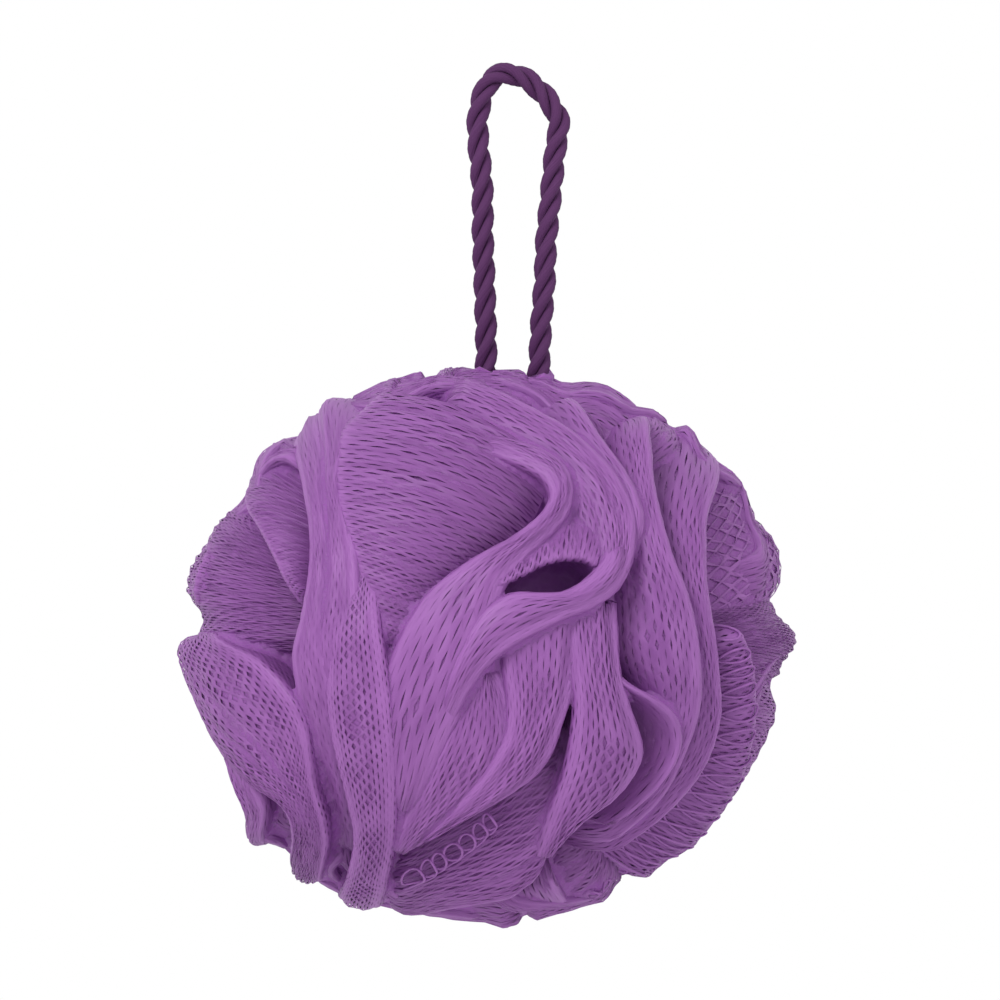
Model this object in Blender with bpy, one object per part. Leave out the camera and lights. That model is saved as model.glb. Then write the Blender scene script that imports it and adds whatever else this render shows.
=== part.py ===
"""A mesh bath pouf that hangs from a loop of laid cord.

One long tube of soft net is gathered into folds and held at its middle by a waist tie. The cord's two
ends meet in a knot on that tie. The frame: +Z up, -Y the face that is seen, origin where a hook bears in
the top of the loop.
"""

import math

import bmesh
import bpy
from mathutils import Matrix, Vector

# The ball of net, in metres
BALL_WIDTH = 0.130
BALL_DEPTH = 0.122
BALL_HEIGHT = 0.119
FOLD_DEPTH = 0.012
CREST_RADIUS = 0.0013
STRAP_ARCH = 0.0012
WALL_FULLNESS = 0.85
CORE_COVER = 0.001
ROOT_BURY = 0.006
REAR_SINK = 0.0012

# The folds round the sides, in metres and radians, or as shares of the step from one fold to the next
SIDE_FOLDS = 16
SIDE_FROM = math.radians(64)
SIDE_TO = math.radians(120)
SIDE_LAP = 1.1
SIDE_LEAN = 1.5
SIDE_SWAY = 0.28
SIDE_WANDER = 2.4
SIDE_POINTS = 7
SIDE_BEND = 2.5 * math.pi
SIDE_PHASE = 3
SIDE_SINK = 0.0018
SIDE_SWING = 0.0008
REAR_TURN = math.radians(150)

# How far towards the front and the back the waves of the outline reach, in metres
WAVE_REACH = 0.034

# The cord, the knot and the tie, in metres
CORD_DIAMETER = 0.005
CORD_LOOP_REACH = 0.1206
CORD_STRAIGHT = 0.005
BALL_OFFSET = 0.0046
TIE_RING_RADIUS = 0.0085
TIE_THICKNESS = 0.003
KNOT_COVER = 0.0012
KNOT_HEIGHT = 0.009
KNOT_RIM = 0.0016
CLEARANCE = 0.0003

# How finely the shapes are made
STATIONS = 21
WALL_STEPS = 5
END_SHARE = 0.16
EDGE_WRAP = 4.0
SKIN_STEP = 0.001
NET_TRIANGLES = 10800
CORD_STATIONS = 61
CORD_SIDES = 3
TURNED_STEPS = 32
TIE_SIDES = 10

NET_COLOUR = (0.30, 0.09, 0.36)
CORD_COLOUR = (0.10, 0.025, 0.12)
TIE_COLOUR = (0.55, 0.50, 0.58)

CORE_DEPTH = FOLD_DEPTH + CORE_COVER
ROOT_DEPTH = CORE_DEPTH + ROOT_BURY
TIE_INNER = TIE_RING_RADIUS - TIE_THICKNESS / 2
TIE_OUTER = TIE_RING_RADIUS + TIE_THICKNESS / 2
KNOT_WIDTH = 2 * (CORD_DIAMETER + CLEARANCE + KNOT_COVER)
KNOT_LOW = TIE_OUTER + CLEARANCE
KNOT_HIGH = KNOT_LOW + KNOT_HEIGHT

# The middle of the ball hangs to the left of the hook and under it, and the cord's ends stand on the knot
BALL_CENTRE = Vector((-BALL_OFFSET, 0, -CORD_LOOP_REACH))
CORD_ASIDE = Vector((CORD_DIAMETER / 2 + CLEARANCE, 0, 0))
CORD_FOOT = BALL_CENTRE + Vector((0, 0, KNOT_HIGH + CLEARANCE))
CORD_RISE = Vector((0, 0, CORD_STRAIGHT))

# The cord's middle line, from one end at the knot, round the hook, to the other end
CORD_ROUTE = [
    tuple(CORD_FOOT - CORD_ASIDE),
    tuple(CORD_FOOT - CORD_ASIDE + CORD_RISE),
    (-0.0070, 0.0006, -0.0870),
    (-0.0058, 0.0014, -0.0756),
    (-0.0048, 0.0016, -0.0594),
    (-0.0051, 0.0014, -0.0436),
    (-0.0055, 0.0010, -0.0322),
    (-0.0056, 0.0006, -0.0219),
    (-0.0066, 0.0002, -0.0100),
    (-0.0060, 0, -0.0040),
    (-0.0038, 0, 0.0010),
    (0, 0, CORD_DIAMETER / 2),
    (0.0045, 0, 0.0008),
    (0.0085, -0.0002, -0.0032),
    (0.0109, -0.0004, -0.0080),
    (0.0101, -0.0007, -0.0140),
    (0.0090, -0.0012, -0.0249),
    (0.0081, -0.0016, -0.0340),
    (0.0078, -0.0020, -0.0420),
    (0.0070, -0.0022, -0.0520),
    (0.0063, -0.0020, -0.0630),
    (0.0039, -0.0014, -0.0770),
    (-0.0004, -0.0006, -0.0880),
    tuple(CORD_FOOT + CORD_ASIDE + CORD_RISE),
    tuple(CORD_FOOT + CORD_ASIDE),
]

# The front folds are drawn in millimetres on the face of a ball this wide and high, and follow the ball's
# own size
DRAWN_WIDTH = 130
DRAWN_HEIGHT = 120

# Where the outline stands out or falls back: degrees round the face, the degrees it spreads, millimetres
EDGE_WAVES = [
    (1, 5, 1.6), (8, 6, -3.0), (19, 8, 1.5), (34, 10, 2.6), (45, 8, 1.6), (51, 10, 3.2), (65, 8, 1.6),
    (74, 6, -1.2), (101, 9, 1.2), (111, 9, 1.0), (124, 8, 3.0), (138, 8, 1.6), (149, 9, -2.2),
    (166, 8, 1.6), (175, 6, -4.0), (198, 22, -3.0), (220, 5, 2.4), (237, 16, 1.9), (276, 7, 2.0),
    (300, 6, -3.4), (309, 8, -1.6), (332, 34, -1.6), (353, 8, -2.0),
]

# Each fold is an edge that shows, the crest, and the line where its wall goes under the next fold, the foot
RUFFLES = {
    "big_lobe": (
        [(-20.5, 54.5), (-25.5, 50.5), (-29.3, 45), (-30.6, 37), (-29.5, 30), (-27, 23),
         (-25.5, 16), (-24, 7), (-22.5, -3)],
        [(13, 42), (15.5, 38), (14.5, 32.5), (9.5, 27.5), (3, 22.5), (-4, 16.5), (-10, 11),
         (-14.5, 4), (-17.5, -3)],
    ),
    "over_fold": (
        [(-14, 58), (-5, 57), (3, 54), (10, 50.3), (16, 46.8), (21.5, 42), (26, 37), (29, 31),
         (29.7, 25), (28.6, 19), (26, 14.5)],
        [(-14, 51), (-6.5, 48.5), (0, 46), (6, 43.5), (11, 41), (15, 37.5), (17.5, 34), (19, 30),
         (20.5, 26), (22, 22.5), (22.5, 19)],
    ),
    "pocket_back": (
        [(-1, 13.5), (3.5, 15), (8, 17.3), (12.8, 19.8), (17.5, 20.6), (21.3, 19.8), (24.3, 17.3)],
        [(3, 20), (7, 23.5), (11, 27.5), (14.5, 31.5), (19, 34), (25, 32), (28, 26)],
    ),
    "floor_fold": (
        [(14, -44), (9, -48), (5, -51), (-2, -53), (-10, -55), (-17, -57), (-24, -56)],
        [(18.5, -17), (13.5, -20), (6, -25.5), (-2, -32.5), (-10, -38.5), (-17, -43.5), (-23, -47)],
    ),
    "right_pocket_rim": (
        [(24, 2), (26, -2), (28.6, -6), (33.5, -9), (37.6, -12.2), (39.4, -16), (39.2, -20.5),
         (36.6, -25.5), (31.5, -31), (25.5, -36), (19, -41)],
        [(21, 0), (21, -4), (22, -9), (24, -14), (25, -18), (25.5, -22), (24.5, -26), (22, -30),
         (18, -34), (14, -38), (10, -43)],
    ),
    "dark_fold": (
        [(15, 57), (18.5, 52), (21.5, 47), (25, 42), (29, 36), (31.5, 29), (32, 21)],
        [(7, 55), (11, 50), (16, 45), (20, 41), (24, 36), (26, 30), (27, 22)],
    ),
    "right_fold_one": (
        [(31.5, 61), (32.8, 48), (33.5, 40), (34.6, 31.4), (37.2, 21.3), (40.9, 11.4), (43, 0.6),
         (43.6, -10.1), (40.9, -20.9), (36.4, -30.3), (26.5, -39.5), (15, -48)],
        [(24.5, 59), (24.5, 49), (26, 41), (28, 32), (28, 22), (28, 11), (28, 1), (31, -6),
         (35, -13), (34, -24), (25, -35), (13, -44)],
    ),
    "right_fold_two": (
        [(52, 50), (48.5, 42), (46.5, 32), (45.4, 21.3), (45.8, 11.4), (47.9, -3), (48.6, -13.8),
         (45.6, -24.5), (38.5, -33.8), (28.5, -41.7), (15, -51)],
        [(33, 58), (32.5, 46), (33.5, 33), (36, 21), (39.5, 10), (42, -1), (42.5, -12), (39.5, -23),
         (33, -32), (23, -40.5), (13, -48)],
    ),
    "open_net_upper": (
        [(50, 43), (56.5, 37), (60, 30), (62.5, 23), (65, 15), (63, 8)],
        [(44, 38), (45, 33), (44.5, 27), (44, 20), (44, 12), (45, 6)],
    ),
    "open_net_bump": (
        [(60, 12), (65.5, 7), (68, 1), (67, -4), (63, -8)],
        [(45, 9), (46, 5), (47, 1), (47, -4), (47, -8)],
    ),
    "loop_band": (
        [(50, 9), (54, 0), (56, -6.7), (56.1, -17.4), (54.4, -28.2), (49.5, -36.4), (43.6, -42.4),
         (37, -46.5), (30, -49.5)],
        [(45.5, 7), (47.5, -3), (48.5, -11), (47, -20), (44, -28), (38.5, -34.5), (32, -39.5),
         (26, -43.5), (21, -47.5)],
    ),
    "lower_right_edge": (
        [(64, -4), (64, -12), (62.5, -19), (59, -27), (53.5, -35), (47, -41.5), (40, -46.5),
         (34, -51), (28, -53)],
        [(50, -2), (52, -9), (53, -17), (51, -25), (46, -32), (40, -38), (33, -42.5), (28, -45),
         (23, -48)],
    ),
    "bottom_right": (
        [(31, -50), (28.5, -55), (24, -59), (16, -61), (8, -61)],
        [(24, -42), (20, -45), (15, -48), (11, -50), (6, -52)],
    ),
    "bottom_fold": (
        [(10, -60), (0, -62.5), (-9, -62.5), (-17, -61), (-23, -58.5), (-29, -57)],
        [(8, -48), (0, -49), (-8, -50), (-15, -51), (-20, -51), (-24, -50)],
    ),
    "upper_left_lobe": (
        [(-39, 47), (-46, 46), (-51, 42), (-52.5, 36), (-51.5, 31), (-47, 26), (-43.5, 20.5),
         (-41, 15.5), (-39, 9)],
        [(-36, 44), (-37, 41), (-38, 37), (-37.5, 33), (-37, 29), (-36, 25), (-35.5, 20), (-36, 15),
         (-36, 9)],
    ),
    "left_lobe": (
        [(-52, 33), (-58, 29.5), (-63, 24), (-66.5, 17), (-67, 10), (-64, 4), (-60, -1)],
        [(-48, 26), (-45, 22), (-42, 18), (-40, 14), (-39, 9), (-40, 4), (-44, -1)],
    ),
    "lower_left_back": (
        [(-60, -27), (-57.5, -34), (-56, -39.5), (-52.5, -44), (-46.5, -48), (-42, -51.5),
         (-37, -54.5), (-31, -57)],
        [(-48, -20), (-44, -26), (-41, -31), (-38, -36), (-35, -40), (-32, -43), (-29, -46),
         (-25, -49)],
    ),
    "top_left": (
        [(-32, 54.5), (-25, 58), (-18, 60.5), (-13, 60)],
        [(-25, 46), (-19, 49), (-14, 50), (-10, 50)],
    ),
    "top_middle": (
        [(-9, 59), (-3, 62), (4, 62), (9, 60)],
        [(-6, 51), (0, 50), (6, 48), (12, 46)],
    ),
    "top_right": (
        [(8, 60), (13, 60), (18, 58.5), (24, 59), (30, 56.5), (35, 52)],
        [(10, 50), (13, 48), (17, 46), (21, 44), (26, 42), (31, 39)],
    ),
}

# A strap lies on the folds with both its edges showing
STRAPS = {
    "swoosh": (
        [(29.5, 27), (29.2, 20), (26.2, 14.2), (21, 10.5), (15.7, 8.6), (9, 5.3), (2.8, 1.5),
         (-2, -3.5), (-5.5, -9.5), (-9, -17), (-12.5, -25), (-16, -34)],
        [(26, 27), (25.3, 20.5), (22, 16), (17, 12.8), (11.4, 12.3), (5.5, 12), (0, 8.5), (-4, 2.5),
         (-7.5, -5), (-11, -13.5), (-14, -22.5), (-17, -33)],
    ),
    "fan_left": (
        [(-12, 49), (-4, 46), (3, 43), (8.5, 40.2), (12.5, 37.4), (14.2, 33.7), (13, 30.3),
         (10.5, 27.5), (6, 24.2), (0, 21), (-6, 17), (-11.5, 12), (-16, 5), (-20, -4), (-22, -14),
         (-22, -25), (-21.5, -35), (-21.5, -46)],
        [(-11, 51), (-3, 48.5), (4.5, 45.8), (11, 42.7), (15.5, 39), (17, 34.8), (16.3, 30.5),
         (13.8, 26.8), (10, 23.2), (6, 19.5), (2.5, 14), (0.5, 6.5), (-2.5, -2), (-6, -11),
         (-9.5, -19), (-13, -28), (-17, -37), (-20, -46)],
    ),
    "fan_right": (
        [(1, -2), (4, -9), (5.5, -16), (3.5, -22.5), (-1, -28), (-7, -33.5), (-13, -39), (-19, -45)],
        [(-2, -3), (-5.5, -10), (-8.5, -17), (-11.5, -23.5), (-14, -29.5), (-16.5, -35),
         (-18.5, -40), (-20.5, -45)],
    ),
    "middle_strap": (
        [(21, 15), (20, 8), (19, 0), (17, -8), (14.8, -14), (12.6, -20), (9, -25), (3.2, -29.3),
         (-3.8, -33.6), (-11, -38), (-19, -45)],
        [(8, 13), (4.5, 5), (4.5, -2), (5.5, -9), (5.2, -15.5), (2.5, -21), (-1.5, -26.5),
         (-6, -31), (-10, -35), (-14.5, -39.5), (-20.5, -45.5)],
    ),
    "blade": (
        [(27, 15), (27, 6), (27, -3), (28.5, -10), (31, -18), (30.5, -23), (26, -29.5), (19, -35),
         (14, -41), (10.5, -48)],
        [(18, 15), (18.3, 6), (18.8, -3), (19.3, -10), (18.5, -17), (17, -24), (15, -30), (13, -36),
         (11, -42), (8, -48)],
    ),
    "column": (
        [(-25, 27), (-26.5, 20), (-29.5, 12), (-31, 3), (-31.5, -6), (-31, -14), (-29.5, -22),
         (-27.5, -31), (-26.5, -39), (-28, -47), (-29.5, -51), (-31, -54.5), (-33, -60.5)],
        [(-22.5, 27), (-23.5, 20), (-23.5, 12), (-22.5, 4), (-21, -5), (-20, -14), (-19.5, -22),
         (-19.5, -31), (-20, -39), (-21.5, -47), (-22.5, -52), (-24, -57), (-26, -62.5)],
    ),
    "left_drape_one": (
        [(-46, 57), (-42.5, 50), (-39.8, 41), (-37, 32), (-35.5, 25), (-35.5, 17), (-37, 8),
         (-39, 0), (-38.5, -9), (-37.5, -18), (-36.5, -27), (-35.5, -37), (-34, -46), (-33, -53)],
        [(-39, 59), (-36.5, 52), (-34.8, 42), (-33.5, 33), (-32.5, 26), (-32, 18), (-32.5, 9),
         (-32.5, 1), (-31, -8), (-30, -18), (-29, -28), (-28, -38), (-28, -47), (-29, -54)],
    ),
    "left_drape_two": (
        [(-37, 61), (-35, 53), (-34.5, 45), (-33.5, 36), (-32.5, 28), (-32, 19), (-33, 10),
         (-34.5, 2), (-33, -7), (-30, -16), (-27, -25)],
        [(-26, 63), (-27, 54), (-28.5, 45), (-30, 36), (-29, 28), (-27.5, 20), (-27, 11), (-27, 2),
         (-26, -8), (-25, -17), (-24, -26)],
    ),
    "lower_left_pleat": (
        [(-55, -17), (-52.5, -23), (-50, -28.5), (-47.4, -34), (-46.8, -40), (-47.2, -47)],
        [(-60.5, -18), (-58, -24), (-55.2, -29), (-52.2, -34), (-51.2, -40), (-51, -46)],
    ),
    "lower_left_strap": (
        [(-62, 5.5), (-55.3, 2), (-47.6, -1.5), (-41.2, -8), (-37.8, -14.4), (-36.6, -22),
         (-35.6, -29), (-34, -36), (-34, -43), (-35, -50), (-37, -56.5)],
        [(-65.5, 4), (-68.5, -3), (-67.5, -10.5), (-63, -18), (-57, -24), (-49, -28.5),
         (-42.5, -32), (-40, -37), (-41, -44), (-42.5, -51), (-44.5, -57.5)],
    ),
}

# What is special about some folds: the shares of the length over which the ends go down, how deep the
# wall goes, how full it is, and how far the fold lies under the ball's surface, from end to end in
# millimetres
SHAPES = {
    "big_lobe": {
        "ends": (0.04, 0.1),
        "depth": (2, 7, 12, 12, 12, 11, 8, 5, 3),
        "full": 0.62,
        "sink": (0, 0, 0, 0, 0, 0.3, 1.2, 2.2, 3),
    },
    "over_fold": {"ends": (0.1, 0.06), "depth": (6, 6, 6, 6, 6, 6, 5, 4, 4, 3, 2), "full": 0.7},
    "pocket_back": {
        "ends": (0.1, 0.1),
        "depth": (2, 3, 5, 6, 6, 6, 5),
        "sink": (0.5, 0.6, 1, 1.3, 1.3, 1, 0.8),
    },
    "swoosh": {"ends": (0.08, 0.3), "sink": (1.5, 0.3, 0, 0, 0, 0, 0, 0, 0, 0, 0, 0)},
    "fan_left": {
        "ends": (0.1, 0.1),
        "sink": (4, 3.2, 2, 0.9, 0.5, 0.4, 0.6, 0.8, 0.8, 0.8, 0.9, 1, 1.2, 1.4, 1.5, 1.3, 1, 0.8),
    },
    "fan_right": {"ends": (0.02, 0.1), "sink": (3.4, 3, 2.3, 1.8, 1.4, 1.1, 1, 0.8)},
    "floor_fold": {"depth": 8, "full": 1},
    "right_pocket_rim": {
        "ends": (0.1, 0.12),
        "depth": 12,
        "full": 3.4,
        "sink": (4, 3.2, 1.4, 0.3, 0, 0, 0, 0, 0, 0.2, 0.5),
    },
    "right_fold_one": {"ends": (0.1, 0.1), "sink": (0, 0, 0, 0, 0, 0, 0, 0.3, 0.8, 1, 1, 1.2)},
    "right_fold_two": {
        "ends": (0.02, 0.1),
        "sink": (0.8, 0.8, 0.8, 0.8, 0.8, 0.8, 1, 1.3, 1.5, 1.5, 1.6),
    },
    "loop_band": {"ends": (0.08, 0.08)},
    "middle_strap": {
        "ends": (0.1, 0.12),
        "sink": (3.6, 3.2, 2.6, 1.9, 1.2, 0.6, 0.3, 0.2, 0.3, 0.5, 0.8),
    },
    "blade": {"ends": (0.05, 0.12), "sink": (4.4, 2.8, 1.6, 0.8, 0.2, 0, 0, 0, 0.2, 0.5)},
    "column": {"ends": (0.1, 0.12), "sink": (4.5, 3, 1.2, 0.3, 0, 0, 0, 0, 0, 0, 0.2, 0.3, 0.3)},
    "left_drape_one": {
        "ends": (0.1, 0.1),
        "sink": (2.4, 2.2, 1.4, 0.6, 0.1, 0, 0, 0.3, 1.2, 2.8, 4.5, 5.5, 6, 6),
    },
    "left_drape_two": {"ends": (0.1, 0.2), "sink": (2.2, 2, 1.4, 0.7, 0.3, 0, 0.2, 0.6, 1.4, 3, 5)},
    "lower_left_pleat": {"ends": (0.08, 0.14), "sink": (1.6, 0.9, 0.4, 0.3, 0.4, 0.6)},
    "lower_left_strap": {"ends": (0.06, 0.14)},
}


def smooth_line(points, count):
    """Places at even steps of a smooth curve through these points."""
    steps = len(points) - 1
    places = []
    for i in range(count):
        at = i * steps / (count - 1)
        k = min(int(at), steps - 1)
        f = at - k
        p, q, r, s = (Vector(points[min(max(k + j, 0), steps)]) for j in (-1, 0, 1, 2))
        curved = (2 * p - 5 * q + 4 * r - s) * f**2 + (3 * q - p - 3 * r + s) * f**3
        places.append((2 * q + (r - p) * f + curved) / 2)
    return places


def outward(turn, tilt):
    """The direction from the ball's centre that is this far round the face and this far off its middle."""
    return Vector((math.sin(tilt) * math.cos(turn), -math.cos(tilt), math.sin(tilt) * math.sin(turn)))


def drawn_direction(place):
    """The direction of the point that is seen at this place of the drawn face."""
    across = place[0] / (DRAWN_WIDTH / 2)
    up = place[1] / (DRAWN_HEIGHT / 2)
    reach = math.hypot(across, up)
    tilt = math.asin(reach) if reach <= 1 else math.pi / 2 + EDGE_WRAP * (reach - 1)
    return outward(math.atan2(up, across), tilt)


def on_ball(direction, depth):
    """The point in this direction, this far below the ball's surface."""
    half = Vector((BALL_WIDTH, BALL_DEPTH, BALL_HEIGHT)) / 2
    return BALL_CENTRE + Vector(o * (h - depth) for o, h in zip(direction.normalized(), half))


def value_at(values, share):
    """The value at this share of the way along an even row of values, or the one value given in its place."""
    if isinstance(values, (int, float)):
        return values
    at = share * (len(values) - 1)
    k = min(int(at), len(values) - 2)
    return values[k] + (values[k + 1] - values[k]) * (at - k)


def end_height(share, ends):
    """How much of a fold's height stands at this share of its length: the ends go down."""
    if ends:
        near = min(share / ends[0], (1 - share) / ends[1], 1)
        return near * near * (3 - 2 * near)
    near = min(share / END_SHARE, (1 - share) / END_SHARE, 1)
    return math.sqrt(1 - (1 - near) ** 2)


def section(crest, foot, share, shape, strap, sink):
    """A fold's closed section at one station: its root, its wall from foot to crest, and its round edge."""
    height = end_height(share, shape.get("ends"))
    low = value_at(shape.get("depth", 1000 * FOLD_DEPTH), share) / 1000
    top = sink + value_at(shape.get("sink", 0), share) / 1000 + FOLD_DEPTH * (1 - height)
    side = (crest - foot).normalized() * CREST_RADIUS / (BALL_WIDTH / 2)
    edge = CREST_RADIUS * height
    points = [on_ball(foot, ROOT_DEPTH)]
    if strap:
        points.append(on_ball(foot - side, top + edge))
    for i in range(WALL_STEPS + 1):
        t = i / WALL_STEPS
        if strap:
            depth = -STRAP_ARCH * height * math.sin(math.pi * t)
        else:
            depth = low * height * (1 - math.sin(math.pi / 2 * t ** shape.get("full", WALL_FULLNESS)))
        points.append(on_ball(foot.lerp(crest, t), top + depth))
    points.append(on_ball(crest + side, top + edge))
    points.append(on_ball(crest, top + 2 * edge))
    points.append(on_ball(crest, ROOT_DEPTH))
    return points


def new_object(name, mesh, colour, roughness):
    """A finished piece of the pouf."""
    material = bpy.data.materials.new(name)
    material.use_nodes = True
    shader = material.node_tree.nodes["Principled BSDF"]
    shader.inputs["Base Color"].default_value = (*colour, 1)
    shader.inputs["Roughness"].default_value = roughness
    shader.inputs["Metallic"].default_value = 0
    mesh.materials.append(material)
    bpy.context.scene.collection.objects.link(bpy.data.objects.new(name, mesh))


def mesh_of(name, bm):
    """The mesh that this bmesh has made, with its faces outward."""
    bmesh.ops.recalc_face_normals(bm, faces=bm.faces)
    mesh = bpy.data.meshes.new(name)
    bm.to_mesh(mesh)
    bm.free()
    return mesh


def helper(name, mesh, collection):
    """A shape that only goes into the netting."""
    made = bpy.data.objects.new(name, mesh)
    made.hide_render = True
    made.display_type = "WIRE"
    collection.objects.link(made)
    return made


def helper_group(name):
    """A collection of shapes that go into one Boolean together."""
    group = bpy.data.collections.new(name)
    bpy.context.scene.collection.children.link(group)
    return group


def fold_body(bm, crest, foot, shape, strap=False, sink=0):
    """One fold as a closed body whose root lies in the core, between two lines of directions."""
    rows = []
    for i, (high, low) in enumerate(zip(smooth_line(crest, STATIONS), smooth_line(foot, STATIONS))):
        places = section(high, low, i / (STATIONS - 1), shape, strap, sink)
        rows.append([bm.verts.new(place) for place in places])
    made = []
    for near, far in zip(rows, rows[1:]):
        for k in range(len(near)):
            n = (k + 1) % len(near)
            made.append(bm.faces.new((near[k], near[n], far[n], far[k])))
    made.append(bm.faces.new(rows[0]))
    made.append(bm.faces.new(rows[-1]))
    bmesh.ops.triangulate(bm, faces=made)


def drawn_folds(bm, turn, sink):
    """The drawn folds, turned to the side of the ball where they lie."""
    for strap, folds in ((False, RUFFLES), (True, STRAPS)):
        for name, lines in folds.items():
            crest, foot = ([turn @ drawn_direction(place) for place in line] for line in lines)
            fold_body(bm, crest, foot, SHAPES.get(name, {}), strap, sink)


def side_folds(bm):
    """Folds that run aslant from the front to the back, round the sides, the top and the bottom."""
    step = 2 * math.pi / SIDE_FOLDS
    for i in range(SIDE_FOLDS):
        sway = math.sin(SIDE_WANDER * i)
        shares = [k / (SIDE_POINTS - 1) for k in range(SIDE_POINTS)]
        tilts = [SIDE_FROM + (SIDE_TO - SIDE_FROM) * share for share in shares]
        waves = [sway + math.sin(SIDE_BEND * share + SIDE_PHASE * sway) for share in shares]
        turns = [step * (i + SIDE_LEAN * (s - 0.5) + SIDE_SWAY * w) for s, w in zip(shares, waves)]
        crest = [outward(turn, tilt) for turn, tilt in zip(turns, tilts)]
        foot = [outward(turn - step * SIDE_LAP, tilt) for turn, tilt in zip(turns, tilts)]
        fold_body(bm, crest, foot, {}, sink=SIDE_SINK + SIDE_SWING * sway)


def modified(base, kind, **settings):
    """The base mesh after one modifier, as a mesh of its own."""
    modifier = base.modifiers.new(kind, kind)
    for name, value in settings.items():
        setattr(modifier, name, value)
    seen = bpy.context.evaluated_depsgraph_get()
    mesh = bpy.data.meshes.new_from_object(base.evaluated_get(seen))
    base.modifiers.remove(modifier)
    return mesh


def combined(base, operation, collection):
    """The base mesh after a Boolean with everything in the collection."""
    return modified(
        base, "BOOLEAN", operation=operation, operand_type="COLLECTION", collection=collection,
        solver="EXACT", use_self=True,
    )


def outer_skin(mesh):
    """The largest connected skin of the mesh, without closed-off pockets and loose scraps."""
    bm = bmesh.new()
    bm.from_mesh(mesh)
    left = set(bm.verts)
    skins = []
    for start in bm.verts:
        if start not in left:
            continue
        left.discard(start)
        skin = [start]
        for vert in skin:
            for edge in vert.link_edges:
                other = edge.other_vert(vert)
                if other in left:
                    left.discard(other)
                    skin.append(other)
        skins.append(skin)
    keep = set(max(skins, key=len))
    bmesh.ops.delete(bm, geom=[vert for vert in bm.verts if vert not in keep], context="VERTS")
    return mesh_of("skin", bm)


def ball_core(bm):
    """The round heart of the ball, which shows only at the bottom of the deepest valleys."""
    made = bmesh.ops.create_icosphere(bm, subdivisions=3, radius=1)
    for vert in made["verts"]:
        vert.co = on_ball(vert.co, CORE_DEPTH)


def wave_outline(mesh):
    """Move the skin out and in where the outline stands out or falls back."""
    mean_half = (BALL_WIDTH + BALL_DEPTH + BALL_HEIGHT) / 6
    for vert in mesh.vertices:
        off = vert.co - BALL_CENTRE
        turn = math.degrees(math.atan2(off.z, off.x))
        rise = 0
        for place, spread, height in EDGE_WAVES:
            away = ((turn - place + 180) % 360 - 180) / spread
            if abs(away) < 1:
                rise += height / 1000 * math.cos(math.pi / 2 * away) ** 2
        share = rise / mean_half * max(1 - (off.y / WAVE_REACH) ** 2, 0)
        vert.co += Vector((off.x * share, 0, off.z * share))


def turned(name, outline):
    """A ring turned about the line along the tube's middle, from pairs of radius and place."""
    bm = bmesh.new()
    axis = Vector((1, 0, 0))
    verts = [bm.verts.new(BALL_CENTRE + Vector((along, 0, radius))) for radius, along in outline]
    edges = [bm.edges.new((a, b)) for a, b in zip(verts, verts[1:] + verts[:1])]
    bmesh.ops.spin(
        bm, geom=verts + edges, cent=BALL_CENTRE, axis=axis, angle=2 * math.pi, steps=TURNED_STEPS,
        use_merge=True,
    )
    bmesh.ops.remove_doubles(bm, verts=bm.verts, dist=1e-6)
    return mesh_of(name, bm)


def tie_mesh():
    """The waist tie, a ring of round section."""
    angles = [2 * math.pi * i / TIE_SIDES for i in range(TIE_SIDES)]
    half = TIE_THICKNESS / 2
    return turned("waist_tie", [(TIE_RING_RADIUS + math.cos(a) * half, math.sin(a) * half) for a in angles])


def tie_room():
    """The groove that the tie lies in, round the gathered waist."""
    half = TIE_THICKNESS / 2 + CLEARANCE
    inner = TIE_INNER - CLEARANCE
    outer = TIE_OUTER + CLEARANCE
    return turned("tie_room", [(inner, -half), (outer, -half), (outer, half), (inner, half)])


def drum(name, width, low, high, rim):
    """A drum that stands between two heights over the ball's centre, with rounded rims where rim isn't 0."""
    bm = bmesh.new()
    place = Matrix.Translation(BALL_CENTRE + Vector((0, 0, (low + high) / 2)))
    bmesh.ops.create_cone(
        bm, cap_ends=True, segments=TURNED_STEPS, radius1=width / 2, radius2=width / 2, depth=high - low,
        matrix=place,
    )
    if rim:
        caps = [face for face in bm.faces if len(face.verts) == TURNED_STEPS]
        edges = [edge for face in caps for edge in face.edges]
        bmesh.ops.bevel(bm, geom=edges, offset=rim, segments=3, profile=0.5, affect="EDGES")
    return mesh_of(name, bm)


def cord_curve(name, diameter):
    """The cord's route as a round tube."""
    curve = bpy.data.curves.new(name, "CURVE")
    curve.dimensions = "3D"
    curve.bevel_depth = diameter / 2
    curve.bevel_resolution = CORD_SIDES
    curve.use_fill_caps = True
    spline = curve.splines.new("POLY")
    places = smooth_line(CORD_ROUTE, CORD_STATIONS)
    spline.points.add(len(places) - 1)
    for point, place in zip(spline.points, places):
        point.co = (*place, 1)
    return curve


def cord_room():
    """The way that the cord's legs take between the folds."""
    guide = bpy.data.objects.new("guide", cord_curve("guide", CORD_DIAMETER + 2 * CLEARANCE))
    bpy.context.scene.collection.objects.link(guide)
    seen = bpy.context.evaluated_depsgraph_get()
    bm = bmesh.new()
    bm.from_mesh(bpy.data.meshes.new_from_object(guide.evaluated_get(seen)))
    bmesh.ops.remove_doubles(bm, verts=bm.verts, dist=1e-6)
    bpy.data.objects.remove(guide)
    return mesh_of("cord_room", bm)


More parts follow.
